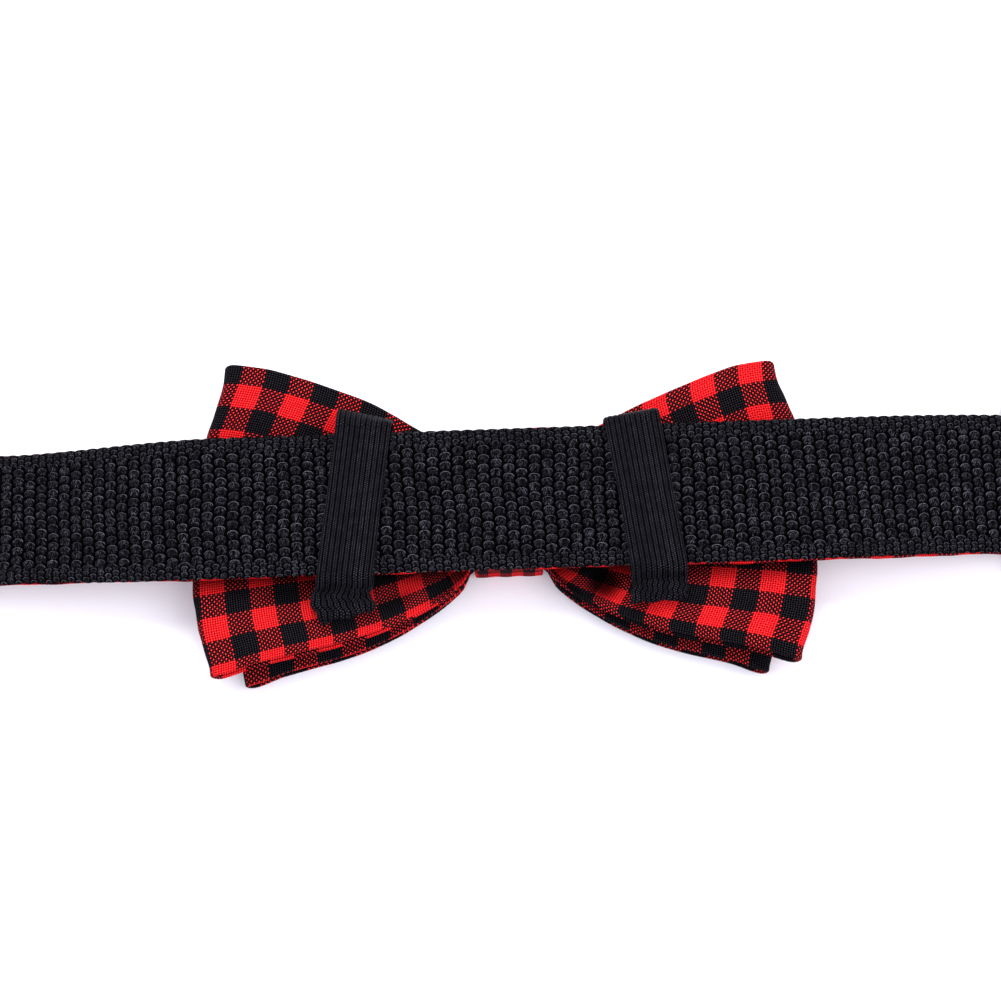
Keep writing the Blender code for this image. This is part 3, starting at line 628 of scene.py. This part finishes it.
def elastic_cloth():
    """Knitted black elastic: each rib is a ladder of small loops in two lanes, the loops lit by a
    painted highlight and the grooves between ribs darkened by painted shade.
    """
    g = Graph("elastic_cloth", 0.45, 0.009)
    along, across, _ = g.fact("weave")
    place = g.times(across, ELASTIC_RIBS / (1000 * ELASTIC_WIDTH))
    rib = g.math("ROUND", place)
    off = g.minus(place, rib)
    aside = g.math("ABSOLUTE", off)
    looped = g.random(rib, 0.55, 1.0)
    phase = g.times(g.math("GREATER_THAN", off, 0.0), math.pi)
    phase = g.plus(phase, g.times(rib, 1.9))
    rungs = g.math("SINE", g.plus(g.times(along, 2 * math.pi / LOOP_PITCH_MM), phase))
    lanes = g.times(g.ramp(aside, 0.06, 0.15), g.ramp(aside, 0.38, 0.28))
    dots = g.times(g.ramp(rungs, 0.1, 0.7), lanes, looped)
    millimetres = g.vector(along, across)
    drawn_out = g.vector(g.times(across, 7.5), g.times(along, 1.3))
    threads = g.noise(drawn_out, 1.0)
    flecks = g.noise(millimetres, 5.0)
    highlight_patches = g.noise(millimetres, 0.5)
    # Darker towards the grooves between ribs: painted shade
    body = g.ramp(aside, 0.47, 0.30)
    tone = g.times(body, g.ramp(threads, 0.34, 0.66, 0.45, 1.35))
    colour = g.blend(tone, ELASTIC_GROOVE_SHADE, ELASTIC_YARN)
    # Painted highlight on the loops' dots, varied in patches
    light = g.ramp(flecks, 0.36, 0.62, 0.25, 1.0)
    light = g.times(dots, light, g.ramp(highlight_patches, 0.35, 0.65, 0.5, 1.0))
    colour = g.blend(light, colour, ELASTIC_GLINT)
    bumps = g.plus(g.times(dots, 0.8), g.times(threads, 0.6))
    g.bump(g.plus(bumps, body), 0.00010, 0.8)
    return g.finish(colour)


def sewing_thread():
    """Black two-ply thread, its twist seen as slanting turns, painted lighter on their crowns and
    darker between them.
    """
    g = Graph("sewing_thread", 0.5, 0.15)
    along, turn, _ = g.fact("weave")
    ply = g.math("SINE", g.plus(g.times(along, 2 * math.pi / 0.42), turn))
    fibres = g.noise(g.vector(along, turn), 6.0)
    # Turns lighter on their crowns and darker between them: painted highlight and shade
    tone = g.times(g.ramp(ply, -0.9, 0.4, 0.2, 1.0), g.ramp(fibres, 0.3, 0.7, 0.6, 1.2))
    colour = g.blend(tone, *THREAD_COLOURS)
    g.bump(g.plus(ply, fibres), 0.00004, 0.6)
    return g.finish(colour)


def moulded_plastic():
    """Black acetal: a fine moulded grain, and rubbed patches that are a little glossier."""
    g = Graph("moulded_plastic", 0.38, 0.13)
    place = g.node("TexCoord").outputs["Object"]
    grain = g.noise(place, 9000.0)
    clouds = g.noise(place, 180.0, 3.0)
    colour = g.blend(clouds, *PLASTIC_COLOURS)
    g.bump(g.plus(grain, g.times(clouds, 2.0)), 0.00002, 0.5)
    return g.finish(colour, g.ramp(clouds, 0.3, 0.7, 0.30, 0.46))


# Bow

def tip_reach(left, height):
    """How far a wing's tip reaches at a share of height, as a share of its length."""
    return np.where(left, smooth_row(TIP_REACH, height, 1), smooth_row(TIP_REACH, height, 2))


def wing_half_height(away, bow, left, upper):
    start = KNOT_WIDTH / 2 + GAP
    share = (away - start) / (bow["half_length"] - start)
    upper_left, upper_right, lower = (smooth_row(WING_HEIGHTS, share, k) for k in (1, 2, 3))
    gained = np.where(upper, np.where(left, upper_left, upper_right), lower)
    return GATHER_HALF_HEIGHT + (bow["half_height"] - GATHER_HALF_HEIGHT) * gained


def gather(x, y):
    outward = ease((np.abs(x) - KNOT_WIDTH / 2) / GATHER_REACH)
    half = wing_half_height(np.abs(x), BACK_BOW, x < 0, y > 0)
    return GATHER_DEPTH * (1 - outward) * np.cos(GATHER_FOLDS * math.pi * y / half)


def bow_middle(bow, along, layer, past, height, dented):
    """The middle of the cloth: a wing's share of length and height, in the upper or lower layer."""
    left = along < 0
    reach = tip_reach(left, height)
    x = bow["half_length"] * along * (1 + (reach - 1) * along * along)
    upper, lower = (np.where(left, *pair) for pair in zip(*EDGE_HEIGHTS.values()))
    outward = ease((np.abs(x) - KNOT_WIDTH / 2) / GATHER_REACH)
    edge = 1 + (np.where(height > 0, upper, lower) - 1) * outward
    away = np.abs(along) * bow["half_length"]
    tall = wing_half_height(away, bow, left, height > 0)
    y = height * edge * tall - bow["drop"] * outward
    half_apart = (bow["hollow"] + CLOTH_THICK) / 2
    apart = GATHER_PITCH / 2 + (half_apart - GATHER_PITCH / 2) * outward
    apart = apart * np.sqrt(np.maximum(0.0, 1 - past * past))
    level = bow["gather_mid"] + (bow["mid"] - bow["gather_mid"]) * outward + gather(x, y)
    z = level + layer * apart
    if dented:
        for share, tall_share, wide, deep in DENTS:
            from_dent = np.hypot((along - share) / wide, (height - tall_share) / (2.6 * wide))
            dent = bow["hollow"] * deep * np.exp(-from_dent * from_dent) * outward
            z = z - np.where(layer > 0, dent, 0.0)
    return joined(x, y, z)


def fold_sizes(bow):
    """Share of height where the folded edges start, their length, where the lower starts."""
    tall = bow["half_height"]
    inner = 1 - CLOTH_THICK / 2 / tall
    arc_length = math.pi * CLOTH_THICK / 2
    return inner, arc_length, arc_length / 2 + 2 * inner * tall


def check_place(bow, key, along, layer, height, across, tips):
    """Place in the check: rows run beside the upper fold, and draw together elsewhere."""
    period, row_period, upper, lower = CHECK_PLACES[key]
    inner, arc_length, far = fold_sizes(bow)
    left = "left" in key
    edges = EDGE_HEIGHTS["left" if left else "right"]
    up = height > 0
    length = bow["half_length"]
    away = np.abs(along) * length
    outward = ease((away - KNOT_WIDTH / 2) / GATHER_REACH)
    edge = 1 + (np.where(up, *edges) - 1) * outward
    near = 0.001
    inward, half, beyond = (
        wing_half_height(place, bow, left, up) for place in (away - near, away, away + near)
    )
    half = half * edge / np.hypot(1.0, (beyond - inward) / (2 * near))
    ends = [float(wing_half_height(length, bow, left, k)) * edges[1 - k] for k in (1, 0)]
    half = np.where((layer > 0) & up, half, np.where(up, *ends))
    round_upper = np.minimum(np.abs(across), arc_length / 2)
    round_lower = np.minimum(np.abs(across - far - arc_length / 2), arc_length / 2)
    from_upper = (round_upper + np.maximum(inner - height, 0.0) * half) * 1000
    from_lower = (round_lower + np.maximum(inner + height, 0.0) * half) * 1000
    whole = (arc_length + inner * sum(ends)) * 1000
    last = (whole - lower[2] - row_period / 2 - upper[2]) / row_period
    count = np.round(last)
    rows_upper = (from_upper - upper[2]) / row_period
    rows_lower = count + 0.5 - (from_lower - lower[2]) / row_period
    along_whole = np.where(up, from_upper, whole - from_lower)
    below = (along_whole - upper[2]) * count / (last * row_period)
    v = np.where(layer > 0, np.where(up, rows_upper, rows_lower), below)
    places = np.where(up, from_upper, from_lower) / (1000 * bow["half_height"])
    start, change = (np.where(up, upper[k], lower[k]) for k in (0, 1))
    u = (tips * 1000 - start - change * (1 - places)) / period
    return (u, v) if left else (0.5 - u, v)


def bow_columns(bow):
    """Places along a band round both wings: share of length, turn of the tip, layer, way to tip."""
    length = bow["half_length"]
    half_apart = (bow["hollow"] + CLOTH_THICK) / 2
    turn = half_apart / length
    flat = np.linspace(0.0, 1 - turn, round(length / CLOTH_SPACING), endpoint=False)
    angles = np.linspace(0.0, math.pi / 2, FOLD_STEPS)
    to_turn = (1 - turn - flat) * length + half_apart * math.pi / 2
    wing = [(share, 0.0, tip) for share, tip in zip(flat, to_turn)]
    turned = zip(np.sin(angles), half_apart * (math.pi / 2 - angles))
    wing += [(1 - turn + turn * past, past, tip) for past, tip in turned]
    rows = [(share, past, 1, tip) for share, past, tip in wing[::-1]]
    rows += [(-share, past, 1, tip) for share, past, tip in wing[1:]]
    rows += [(-share, past, -1, -tip) for share, past, _, tip in rows[1:-1]]
    return np.array(rows)


def bow_ring(bow):
    """Places across a band: share of height, side, outwardness, and distance on the cloth."""
    tall = bow["half_height"]
    inner, arc_length, far = fold_sizes(bow)
    count = round(2 * tall / CLOTH_SPACING)
    down = np.linspace(inner, -inner, count + 1)
    half = count // 2
    fold = np.linspace(0, math.pi, FOLD_STEPS)[1:-1]
    ring = [(h, -1.0, 0.0, -arc_length / 2 - (inner - h) * tall) for h in down[half::-1]]
    for a in fold:
        ring.append((inner, -math.cos(a), math.sin(a), -arc_length / 2 + arc_length * a / math.pi))
    ring += [(h, 1.0, 0.0, arc_length / 2 + (inner - h) * tall) for h in down]
    for a in fold:
        ring.append((-inner, math.cos(a), -math.sin(a), far + arc_length * a / math.pi))
    ring += [(h, -1.0, 0.0, far + arc_length + (h + inner) * tall) for h in down[:half:-1]]
    return np.array(ring)


def fold_shade(bow, points, side, layer):
    """Painted shade of the folds and of the strap's shadow, on the outer face of the upper layer.
    """
    length, tall = bow["half_length"], bow["half_height"]
    x, y = points[..., 0], points[..., 1]
    shade = np.zeros(x.shape)
    for share, tall_share, wide, long, slant, deep, sharp in FOLD_SHADES:
        off_x, off_y = x - share * length, y - tall_share * tall
        right = off_x * math.cos(slant) + off_y * math.sin(slant)
        up = off_y * math.cos(slant) - off_x * math.sin(slant)
        away = (right / (long * length)) ** 2 + (up / (wide * length)) ** 2
        shade = np.maximum(shade, deep * np.exp(-away ** sharp))
    # Painted shadow of the strap along both its edges
    past_edge = np.maximum(np.abs(y) - STRAP_WIDTH / 2 + SHADOW_INSIDE, 0.0)
    under_strap = np.where(y < 0, *STRAP_SHADOW) * np.exp(-(past_edge / SHADOW_REACH) ** 1.3)
    return np.maximum(shade, under_strap) * (side > 0) * (layer > 0)


def bow_cloth(name, bow, dented, material, node):
    """A band of doubled cloth: its plies run over rounded folds along both long edges."""
    length, tall = bow["half_length"], bow["half_height"]
    radius = CLOTH_THICK / 2
    half_apart = (bow["hollow"] + CLOTH_THICK) / 2
    turn = half_apart / length
    along, past, layer, tip = (column[:, None] for column in bow_columns(bow).T)
    height, side, out, across = (row[None, :] for row in bow_ring(bow).T)

    def middle(at):
        return bow_middle(bow, along, layer, past, at, dented)

    step = 0.004
    points = middle(height)
    reach = tip_reach(along < 0, height)
    turn_x = length * (1 - turn) * (1 + (reach - 1) * (1 - turn) ** 2)
    upward = unit(middle(height + step) - middle(height - step))
    onward = unit(np.roll(points, -1, 0) - np.roll(points, 1, 0))
    normal = unit(np.cross(upward, onward))
    x, y = points[..., 0], points[..., 1]
    ripple = sum(deep * np.sin(x * a + y * b + start) for deep, a, b, start in CLOTH_RIPPLES)
    puff = 1 + PUFF * np.sin(across * 420) * np.sin(tip * 350)
    points = points + normal * (radius * side * puff + ripple)[..., None]
    points = points + upward * (radius * out)[..., None]

    flat_tip = layer * (turn_x - np.abs(points[..., 0]) + half_apart * math.pi / 2)
    tips = np.where(past > 0, tip, flat_tip)
    keys = (node.replace("bow", side_name) for side_name in ("left", "right"))
    left, right = (check_place(bow, key, along, layer, height, across, tips) for key in keys)
    u, v = (np.where(along < 0, *pair) for pair in zip(left, right))
    # Painted shade of folds and of the strap's shadow, carried in the folds attribute with the
    # wing's side
    shade = fold_shade(bow, points, side, layer) if dented else np.zeros(tips.shape)
    facts = {"cloth": joined(u, v, 0.0), "folds": joined(shade, along >= 0, 0.0)}
    obj = surface(name, points, (True, True), facts)
    finish_piece(obj, material, "red_black_check", node)


def knot_cloth(material):
    """A band of cloth round the gathers, with soft pleats along it and rounded edges."""
    radius = KNOT_THICK / 2
    tall = GATHER_HALF_HEIGHT + GAP + radius
    high = KNOT_DEPTH - radius
    places = ((tall, radius), (tall, high), (-tall, high), (-tall, radius))
    corners = [(*place, KNOT_CORNER) for place in places]
    loop, at, length = resampled(rounded_loop(corners, 8), KNOT_SPACING, closed=True)
    outward = outward_of(loop)
    ring = flat_ring(radius - KNOT_WIDTH / 2, 29, 7)
    x, side, out = (ring[None, :, k] for k in range(3))
    pleats = PLEAT_DEPTH * (np.cos(x * 2 * math.pi / PLEAT_PITCH + 0.5) - 1)
    offset = radius * side + np.where(side > 0.99, pleats, 0.0)
    y = loop[:, None, 0] + outward[:, None, 0] * offset
    z = loop[:, None, 1] + outward[:, None, 1] * offset
    points = joined(x + radius * out, y, z)
    ring_at = running(np.append(np.abs(np.diff(ring[:, 0])) + KNOT_EDGE_STEP, KNOT_EDGE_STEP))
    along = np.append(at, length)[:, None]
    start_along, start_across = KNOT_CHECK_START
    cloth = joined(along / CHECK_PERIOD + start_along, ring_at / CHECK_PERIOD + start_across, 0.0)
    obj = surface("knot_cloth", points, (True, True), {"cloth": cloth})
    finish_piece(obj, material, "red_black_check", "knot")


# Strap

def strap_rows():
    """The strap's main run, from left to right: x, sideways, height, roll, facing's shift."""
    flat = PLATEAU_SHARE * BACK_BOW["half_length"]
    rows = []
    for share, side, height, roll, shift in reversed(LEFT_SLOPE_ROWS):
        x = -flat + share * (LEFT_BAR_X + flat)
        z = STRAP_LOW + height * (STRAP_HIGH - STRAP_LOW)
        rows.append((x, side * STRAP_WIDTH, z, math.radians(roll), shift * STRAP_WIDTH))
    first_bar = SLIDER_X - SLIDER_BAR_SPAN
    last_bar = SLIDER_X + SLIDER_BAR_SPAN
    beyond = last_bar + SLIDER_LENGTH
    return rows + [
        (0.014, 0.0, STRAP_HIGH, 0.0, 0.00030),
        (flat, 0.0, STRAP_HIGH, 0.0, 0.0),
        (first_bar, SLIDER_SHIFT, SLIDER_OVER, 0.0, 0.0),
        (SLIDER_X, SLIDER_SHIFT, STRAP_LOW, 0.0, 0.0),
        (last_bar, SLIDER_SHIFT, SLIDER_OVER, 0.0, 0.0),
        (beyond, (SLIDER_SHIFT + RIGHT_END_SHIFT) / 2, STRAP_LOW, 0.0, 0.0),
        (RIGHT_BAR_X, RIGHT_END_SHIFT, STRAP_LOW, 0.0, 0.0),
    ]


ROWS = strap_rows()


def main_run(start, end):
    xs = np.linspace(start, end, RUN_POINTS)
    return np.stack([xs, smooth_row(ROWS, xs, 2)], 1)


def webbing_path():
    """The whole ribbon from its left tail, round both buckle bars, to the slider's middle bar."""

    def over(x, layers):
        return smooth_row(ROWS, x, 2) + layers * LAYER_STEP

    def peel(x, bar_x, height):
        closing = ease(np.abs(x - bar_x) / (5 * BUCKLE_WRAP))
        return height + (over(x, 1) - height) * closing

    top = BUCKLE_BAR_Z + BUCKLE_WRAP
    tail = np.linspace(LEFT_BAR_X + LEFT_TAIL, LEFT_BAR_X, TAIL_POINTS, endpoint=False)
    back = np.linspace(RIGHT_BAR_X, SLIDER_X, BACK_POINTS, endpoint=False)
    last = np.linspace(SLIDER_X, SLIDER_X + RIGHT_TAIL, LAST_POINTS)
    over_bar = SLIDER_MIDDLE_Z + SLIDER_WRAP
    closing = ease((last - SLIDER_X) / SLIDER_BAR_SPAN - 0.1)
    return np.vstack([
        np.stack([tail, peel(tail, LEFT_BAR_X, top)], 1),
        arc((LEFT_BAR_X, BUCKLE_BAR_Z), BUCKLE_WRAP, 90, 270, TURN_POINTS),
        main_run(LEFT_BAR_X, RIGHT_BAR_X)[:-1],
        arc((RIGHT_BAR_X, BUCKLE_BAR_Z), BUCKLE_WRAP, -90, 90, TURN_POINTS),
        np.stack([back, peel(back, RIGHT_BAR_X, top)], 1),
        arc((SLIDER_X, SLIDER_MIDDLE_Z), SLIDER_WRAP, 270, 90, TURN_POINTS),
        np.stack([last, over_bar + (over(last, 2) - over_bar) * closing], 1),
    ])


def on_ribbon(line, reach, offset, shifted, ahead=0.0):
    """Points beside a path in X and Z: a reach across the strap and an offset off its face."""
    step = np.gradient(line, axis=0)
    slope = np.arctan2(step[:, 1], step[:, 0])[:, None]
    x, z = line[:, :1], line[:, 1:]
    roll = smooth_row(ROWS, x, 3)
    reach = reach + (smooth_row(ROWS, x, 4) if shifted else 0.0)
    up = offset * np.cos(roll)
    return joined(
        x + ahead - up * np.sin(slope),
        smooth_row(ROWS, x, 1) + reach * np.cos(roll) - offset * np.sin(roll),
        z + reach * np.sin(roll) + up * np.cos(slope),
    )


def pattern_place(s, w):
    """Place on the webbing in columns and floats, with the weave's slight unevenness."""
    bend = 0.00016 * np.sin(s * 95 + 2.0 * np.sin(w * 180)) + 0.00010 * np.sin(w * 510 + s * 61)
    lift = 0.00014 * np.sin(s * 143 + w * 90) + 0.00008 * np.sin(s * 390)
    return (s + 0.02 * w + bend) / (2 * FLOAT_COLUMN_PITCH), (w + lift) / FLOAT_PITCH


def float_crest(column, row):
    """How high the weave stands, from 0 in its gaps to 1 on its floats' crests."""
    wide, tall, power = FLOAT_SHAPE
    best = np.zeros(np.broadcast(column, row).shape)
    for odd in (0, 0.5):
        a = 2 * (column - odd - np.round(column - odd))
        b = row + odd - np.round(row + odd)
        shape = 1 - (np.abs(a) / wide) ** power - (np.abs(b) / tall) ** power
        best = np.maximum(best, np.sqrt(np.maximum(shape, 0.0)))
    return best


def webbing_section(line, at, material, name, first, last, spacing, *across_spacings):
    """A stretch of the ribbon, with its weave as real relief on both faces."""
    s = np.linspace(first, last, round((last - first) / spacing) + 1)
    path = line_at(line, at, s)
    s = s[:, None]
    half = STRAP_WIDTH / 2
    counts = (round(STRAP_WIDTH / each) + 1 for each in across_spacings)
    share, face = two_faces(1, *counts)
    scallop = SCALLOP_DEPTH * (1 - np.abs(np.cos(math.pi * s / SCALLOP_PITCH)) ** 0.8)
    reach = share * (half + 0.5 * SCALLOP_DEPTH - scallop)
    inside = ease((half - SELVEDGE + SELVEDGE_BLEND / 2 - np.abs(reach)) / SELVEDGE_BLEND)
    column, row = pattern_place(s, reach)
    finer = np.where(inside > 0.5, 1.0, SELVEDGE_FINER)
    crest = float_crest(column * finer, row * finer)
    depth = FLOAT_DEPTH * (SELVEDGE_DEPTH + (1 - SELVEDGE_DEPTH) * inside)
    body = WEBBING_THICK / 2 * np.maximum(0.0, 1 - np.abs(share) ** 14) ** 0.5
    offset = face * np.maximum(body - depth * (1 - crest), 0.0)
    for end, whole in ((first, 0.0), (last, at[-1])):
        if end == whole:
            offset = offset * np.sqrt(np.minimum(np.abs(s - end) / SEALED_END, 1.0))
    points = on_ribbon(path, reach, offset, False)
    facts = {"weave": joined(s * 1000, reach * 1000, 0.0), "floats": joined(column, row, inside)}
    obj = surface(name, points, (False, True), facts)
    finish_piece(obj, material, "black_webbing", "strap_webbing")


def webbing(material, thread):
    line = webbing_path()
    at = distances(line)
    main = TAIL_POINTS + TURN_POINTS + np.arange(RUN_POINTS - 1)

    def at_x(x):
        return float(np.interp(x, line[main, 0], at[main]))

    stops = [at_x(x) for x in (-0.100, -0.035, 0.030, 0.095)]
    far_end = at[main[-1]]
    sections = (
        # name, first, last, spacing along, spacing across the upper and the lower face
        ("webbing_left_end", 0.0, stops[0], 0.00042, 0.00042, 0.00050),
        ("webbing_left", stops[0], stops[1], 0.00024, 0.00023, 0.00070),
        ("webbing_middle", stops[1], stops[2], 0.00024, 0.00023, 0.00070),
        ("webbing_right", stops[2], stops[3], 0.00024, 0.00023, 0.00070),
        ("webbing_right_end", stops[3], far_end, 0.00045, 0.00045, 0.00060),
        ("webbing_return", far_end, at[-1], 0.00045, 0.00045, 0.00055),
    )
    for section in sections:
        webbing_section(line, at, material, *section)
    inset, deep, half = TAIL_BOX
    level = WEBBING_THICK / 2
    stitches("stitches_left_tail", line, at, box_route(inset, deep, half), 1, level, thread)
    end = at[-1] - inset
    back = end - TAIL_ROWS_APART
    route = [(end, -half), (end, half), (back, half), (back, -half)]
    stitches("stitches_right_tail", line, at, route, 1, level, thread)


def stitches(name, line, at, route, face, level, material):
    """Thread on the webbing's upper face, or the facing's if face is -1, dipping at each stitch."""
    even, run, _ = resampled(np.array(route), THREAD_SPACING)
    onward = unit(np.gradient(even, axis=0))
    turn = np.linspace(0, 2 * math.pi, 7)
    radius = np.full((len(run), 1), THREAD_RADIUS)
    radius[[0, -1]] = 0.0
    lift = THREAD_RADIUS * (1.7 * np.abs(np.sin(math.pi * run / STITCH_PITCH)) ** 0.5 - 0.9)
    wide = radius * np.cos(turn[:-1])
    path = line_at(line, at, even[:, 0])
    reach = even[:, 1:] + onward[:, :1] * wide
    offset = face * (level + lift[:, None] + radius * np.sin(turn[:-1]))
    points = on_ribbon(path, reach, offset, face < 0, -onward[:, 1:] * wide)
    weave = joined(run[:, None] * 1000, turn, 0.0)
    obj = surface(name, points, (False, True), {"weave": weave})
    finish_piece(obj, material, "black_webbing")


def box_route(start, end, half):
    """A box of stitches across a tail, with both its diagonals."""
    return [
        (start, -half), (end, -half), (end, half), (start, half), (start, -half),
        (end, half), (end, -half), (start, half),
    ]


def facing_cloth(material, thread):
    """The check strip on the strap's outer side, with both long edges turned under."""
    run = main_run(LEFT_BAR_X + FACING_SET_BACK, RIGHT_BAR_X - FACING_SET_BACK)
    line, at, length = resampled(run, CLOTH_SPACING)
    radius = FACING_THICK / 2
    wide = STRAP_WIDTH / 2 - radius + 0.00005
    ring = flat_ring(wide, 35, FOLD_STEPS)
    w, side, out = (ring[None, :, k] for k in range(3))
    s = at[:, None]
    wave = sum(deep * np.sin(s * pace + start) for deep, pace, start in FACING_WAVES)
    reach = w + radius * out + wave * np.sign(w) * (np.abs(w) > 0.9 * wide)
    from_end = np.minimum(s, length - s)
    closing = np.sqrt(np.minimum(from_end / SEALED_END, 1.0))
    offset = radius * side * FACING_PRESSED * closing - FACING_DROP
    points = on_ribbon(line, reach, offset, True)
    step = np.abs(np.diff(ring[:, 0]))
    turn = math.pi * radius / (FOLD_STEPS - 1)
    across = running(np.append(np.where(step < 1e-9, turn, step), turn))
    cloth = joined(s / CHECK_PERIOD, across / CHECK_PERIOD + FACING_CHECK_START, 0.0)
    obj = surface("facing_cloth", points, (False, True), {"cloth": cloth})
    finish_piece(obj, material, "red_black_check", "plaid_facing")
    level = FACING_DROP + FACING_PRESSED * radius
    inset = STITCH_INSET
    row = STRAP_WIDTH / 2 - inset
    end = length - inset
    routes = {
        "upper": [(inset, row), (end, row)],
        "lower": [(inset, -row), (end, -row)],
        "left": [(inset, -row), (inset, row)],
        "right": [(end, -row), (end, row)],
    }
    for key, route in routes.items():
        stitches("stitches_facing_" + key, line, at, route, -1, level, thread)


# Elastic

def elastic_band(row, material):
    """A flat ribbed loop round the strap, bunched where it is folded below the lower edge."""
    name, *shares, ear_swing = row
    x_top, x_edge, x_end = (share * BACK_BOW["half_length"] for share in shares[:3])
    nose, nose_slant, ear, ear_slant = (share * ELASTIC_WIDTH for share in shares[3:])
    edge = STRAP_WIDTH / 2 + GAP + ELASTIC_THICK / 2
    ear_top = ELASTIC_UNDER + ELASTIC_THICK + GAP
    middle = (ELASTIC_UNDER + ELASTIC_OVER) / 2
    corners = [
        # y, z, radius
        (edge + 0.35 * nose, ELASTIC_OVER, 1.6 * ELASTIC_THICK),
        (edge + nose, middle, 1.2 * ELASTIC_THICK),
        (edge + 0.55 * nose, ELASTIC_UNDER, 0.8 * ELASTIC_THICK),
        (-edge - ear, ELASTIC_UNDER, 0.7 * ELASTIC_THICK),
        (-edge - ear, ear_top, 0.7 * ELASTIC_THICK),
        (-edge - 0.22 * ear, ear_top + GAP, ELASTIC_THICK),
        (-edge - 0.5 * GAP, ELASTIC_OVER, ELASTIC_THICK),
    ]
    loop, at, _ = resampled(rounded_loop(corners, 8), ELASTIC_SPACING, closed=True)
    outward = outward_of(loop)
    y0, z0 = loop[:, :1], loop[:, 1:]

    across, face = two_faces(0.5, *ELASTIC_POINTS)
    in_ear = ease((-edge - y0) / (0.5 * ear))
    ripple = 0.10 * in_ear * np.sin(y0 * 2600 + across * 5.0)
    rib = ELASTIC_RIBS * (across + 0.02 * ripple)
    crest = np.abs(np.cos(math.pi * rib)) ** 0.45
    sunk = RIB_SUNK * (np.abs(np.round(rib)) % 2)
    body = ELASTIC_THICK / 2 * np.maximum(0.0, 1 - np.abs(2 * across) ** 16) ** 0.5
    offset = face * np.maximum(body - RIB_DEPTH * (1 - crest) - sunk, 0.0)
    offset = offset + EAR_RIPPLE * in_ear * np.sin(across * 15.0 + y0 * 1900)

    half = STRAP_WIDTH / 2
    upper_slant = across * nose_slant * ease((y0 - half) / (edge + nose - half))
    below = ease((-edge - y0) / ear)
    centre = x_edge + (x_top - x_edge) * (y0 + edge) / (2 * edge)
    centre = np.where(y0 > -edge, centre, x_edge + (x_end - x_edge) * below)
    slant = np.where(y0 > -edge, upper_slant, across * ear_slant * below)
    narrowing = 1 - 0.03 * ease((half - np.abs(y0)) / STRAP_WIDTH)
    swing = ear_swing * np.sin(math.pi * below) * (1 - 0.5 * across)
    swing = swing + EAR_WAVE * in_ear * np.sin(y0 * 3600 + across * 9.0)
    x = centre + across * ELASTIC_WIDTH * narrowing + swing
    points = joined(x, y0 + slant + outward[:, :1] * offset, z0 + outward[:, 1:] * offset)
    weave = joined(at[:, None] * 1000, across * ELASTIC_WIDTH * 1000, 0.0)
    obj = surface(name + "_band", points, (True, True), {"weave": weave})
    finish_piece(obj, material, "black_elastic", name)


# Setting

def floor_paper():
    g = Graph("floor_paper", 0.9, 0.2)
    place = g.node("TexCoord").outputs["Object"]
    tone = g.ramp(g.noise(place, 6.0), 0.3, 0.7, 0.985, 1.0)
    return g.finish(g.dim(PAPER, tone))


def make_setting():
    bpy.ops.mesh.primitive_grid_add(x_subdivisions=8, y_subdivisions=8, size=8.0)
    floor = bpy.context.object
    floor.name = "floor"
    floor.location.z = -FLOOR_DROP
    floor.data.materials.append(floor_paper())

    world = bpy.data.worlds.new("studio")
    world.use_nodes = True
    light = world.node_tree.nodes["Background"].inputs
    light["Color"].default_value = (0.905, 0.90, 1.0, 1.0)
    light["Strength"].default_value = 1.56
    bpy.context.scene.world = world

    lamps = (
        # name, place, size, power, colour
        ("key", (-0.12, 0.70, 1.16), 0.62, 14.5, (1.0, 0.985, 0.96)),
        ("fill", (0.9, -0.3, 1.2), 1.0, 7.0, (0.96, 0.97, 1.0)),
    )
    for name, place, size, power, colour in lamps:
        light = bpy.data.lights.new(name, "AREA")
        light.size = size
        light.energy = power
        light.color = colour
        lamp = placed(name, light)
        lamp.location = place
        lamp.rotation_euler = (-Vector(place)).to_track_quat("-Z", "Y").to_euler()
    bpy.context.scene.view_settings.view_transform = "Standard"


def make_camera():
    elevation = math.radians(VIEW_ELEVATION)
    azimuth = math.radians(VIEW_AZIMUTH)
    level = Vector((-math.sin(azimuth), math.cos(azimuth), 0.0))
    forward = level * math.cos(elevation) - Vector((0.0, 0.0, math.sin(elevation)))
    data = bpy.data.cameras.new("camera")
    data.sensor_width = SENSOR
    data.lens = SENSOR * VIEW_DISTANCE / METRES_A_PIXEL / PHOTO_SIZE
    data.shift_x = (PHOTO_SIZE / 2 - TARGET_PIXEL[0]) / PHOTO_SIZE
    data.shift_y = (TARGET_PIXEL[1] - PHOTO_SIZE / 2) / PHOTO_SIZE
    camera = placed("camera", data)
    camera.location = TARGET - forward * VIEW_DISTANCE
    camera.rotation_euler = forward.to_track_quat("-Z", "Y").to_euler()
    bpy.context.scene.camera = camera


def main():
    make_camera()
    make_setting()
    check = check_cloth()
    black_webbing = webbing_cloth()
    black_elastic = elastic_cloth()
    plastic = moulded_plastic()
    thread = sewing_thread()
    webbing(black_webbing, thread)
    facing_cloth(check, thread)
    bow_cloth("bow_back_cloth", BACK_BOW, True, check, "back_bow")
    bow_cloth("bow_front_cloth", FRONT_BOW, False, check, "front_bow")
    knot_cloth(check)
    for row in ELASTICS:
        elastic_band(row, black_elastic)
    for node in ("slider", "buckle_prongs", "buckle_socket"):
        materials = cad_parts[node].data.materials
        materials.clear()
        materials.append(plastic)


main()
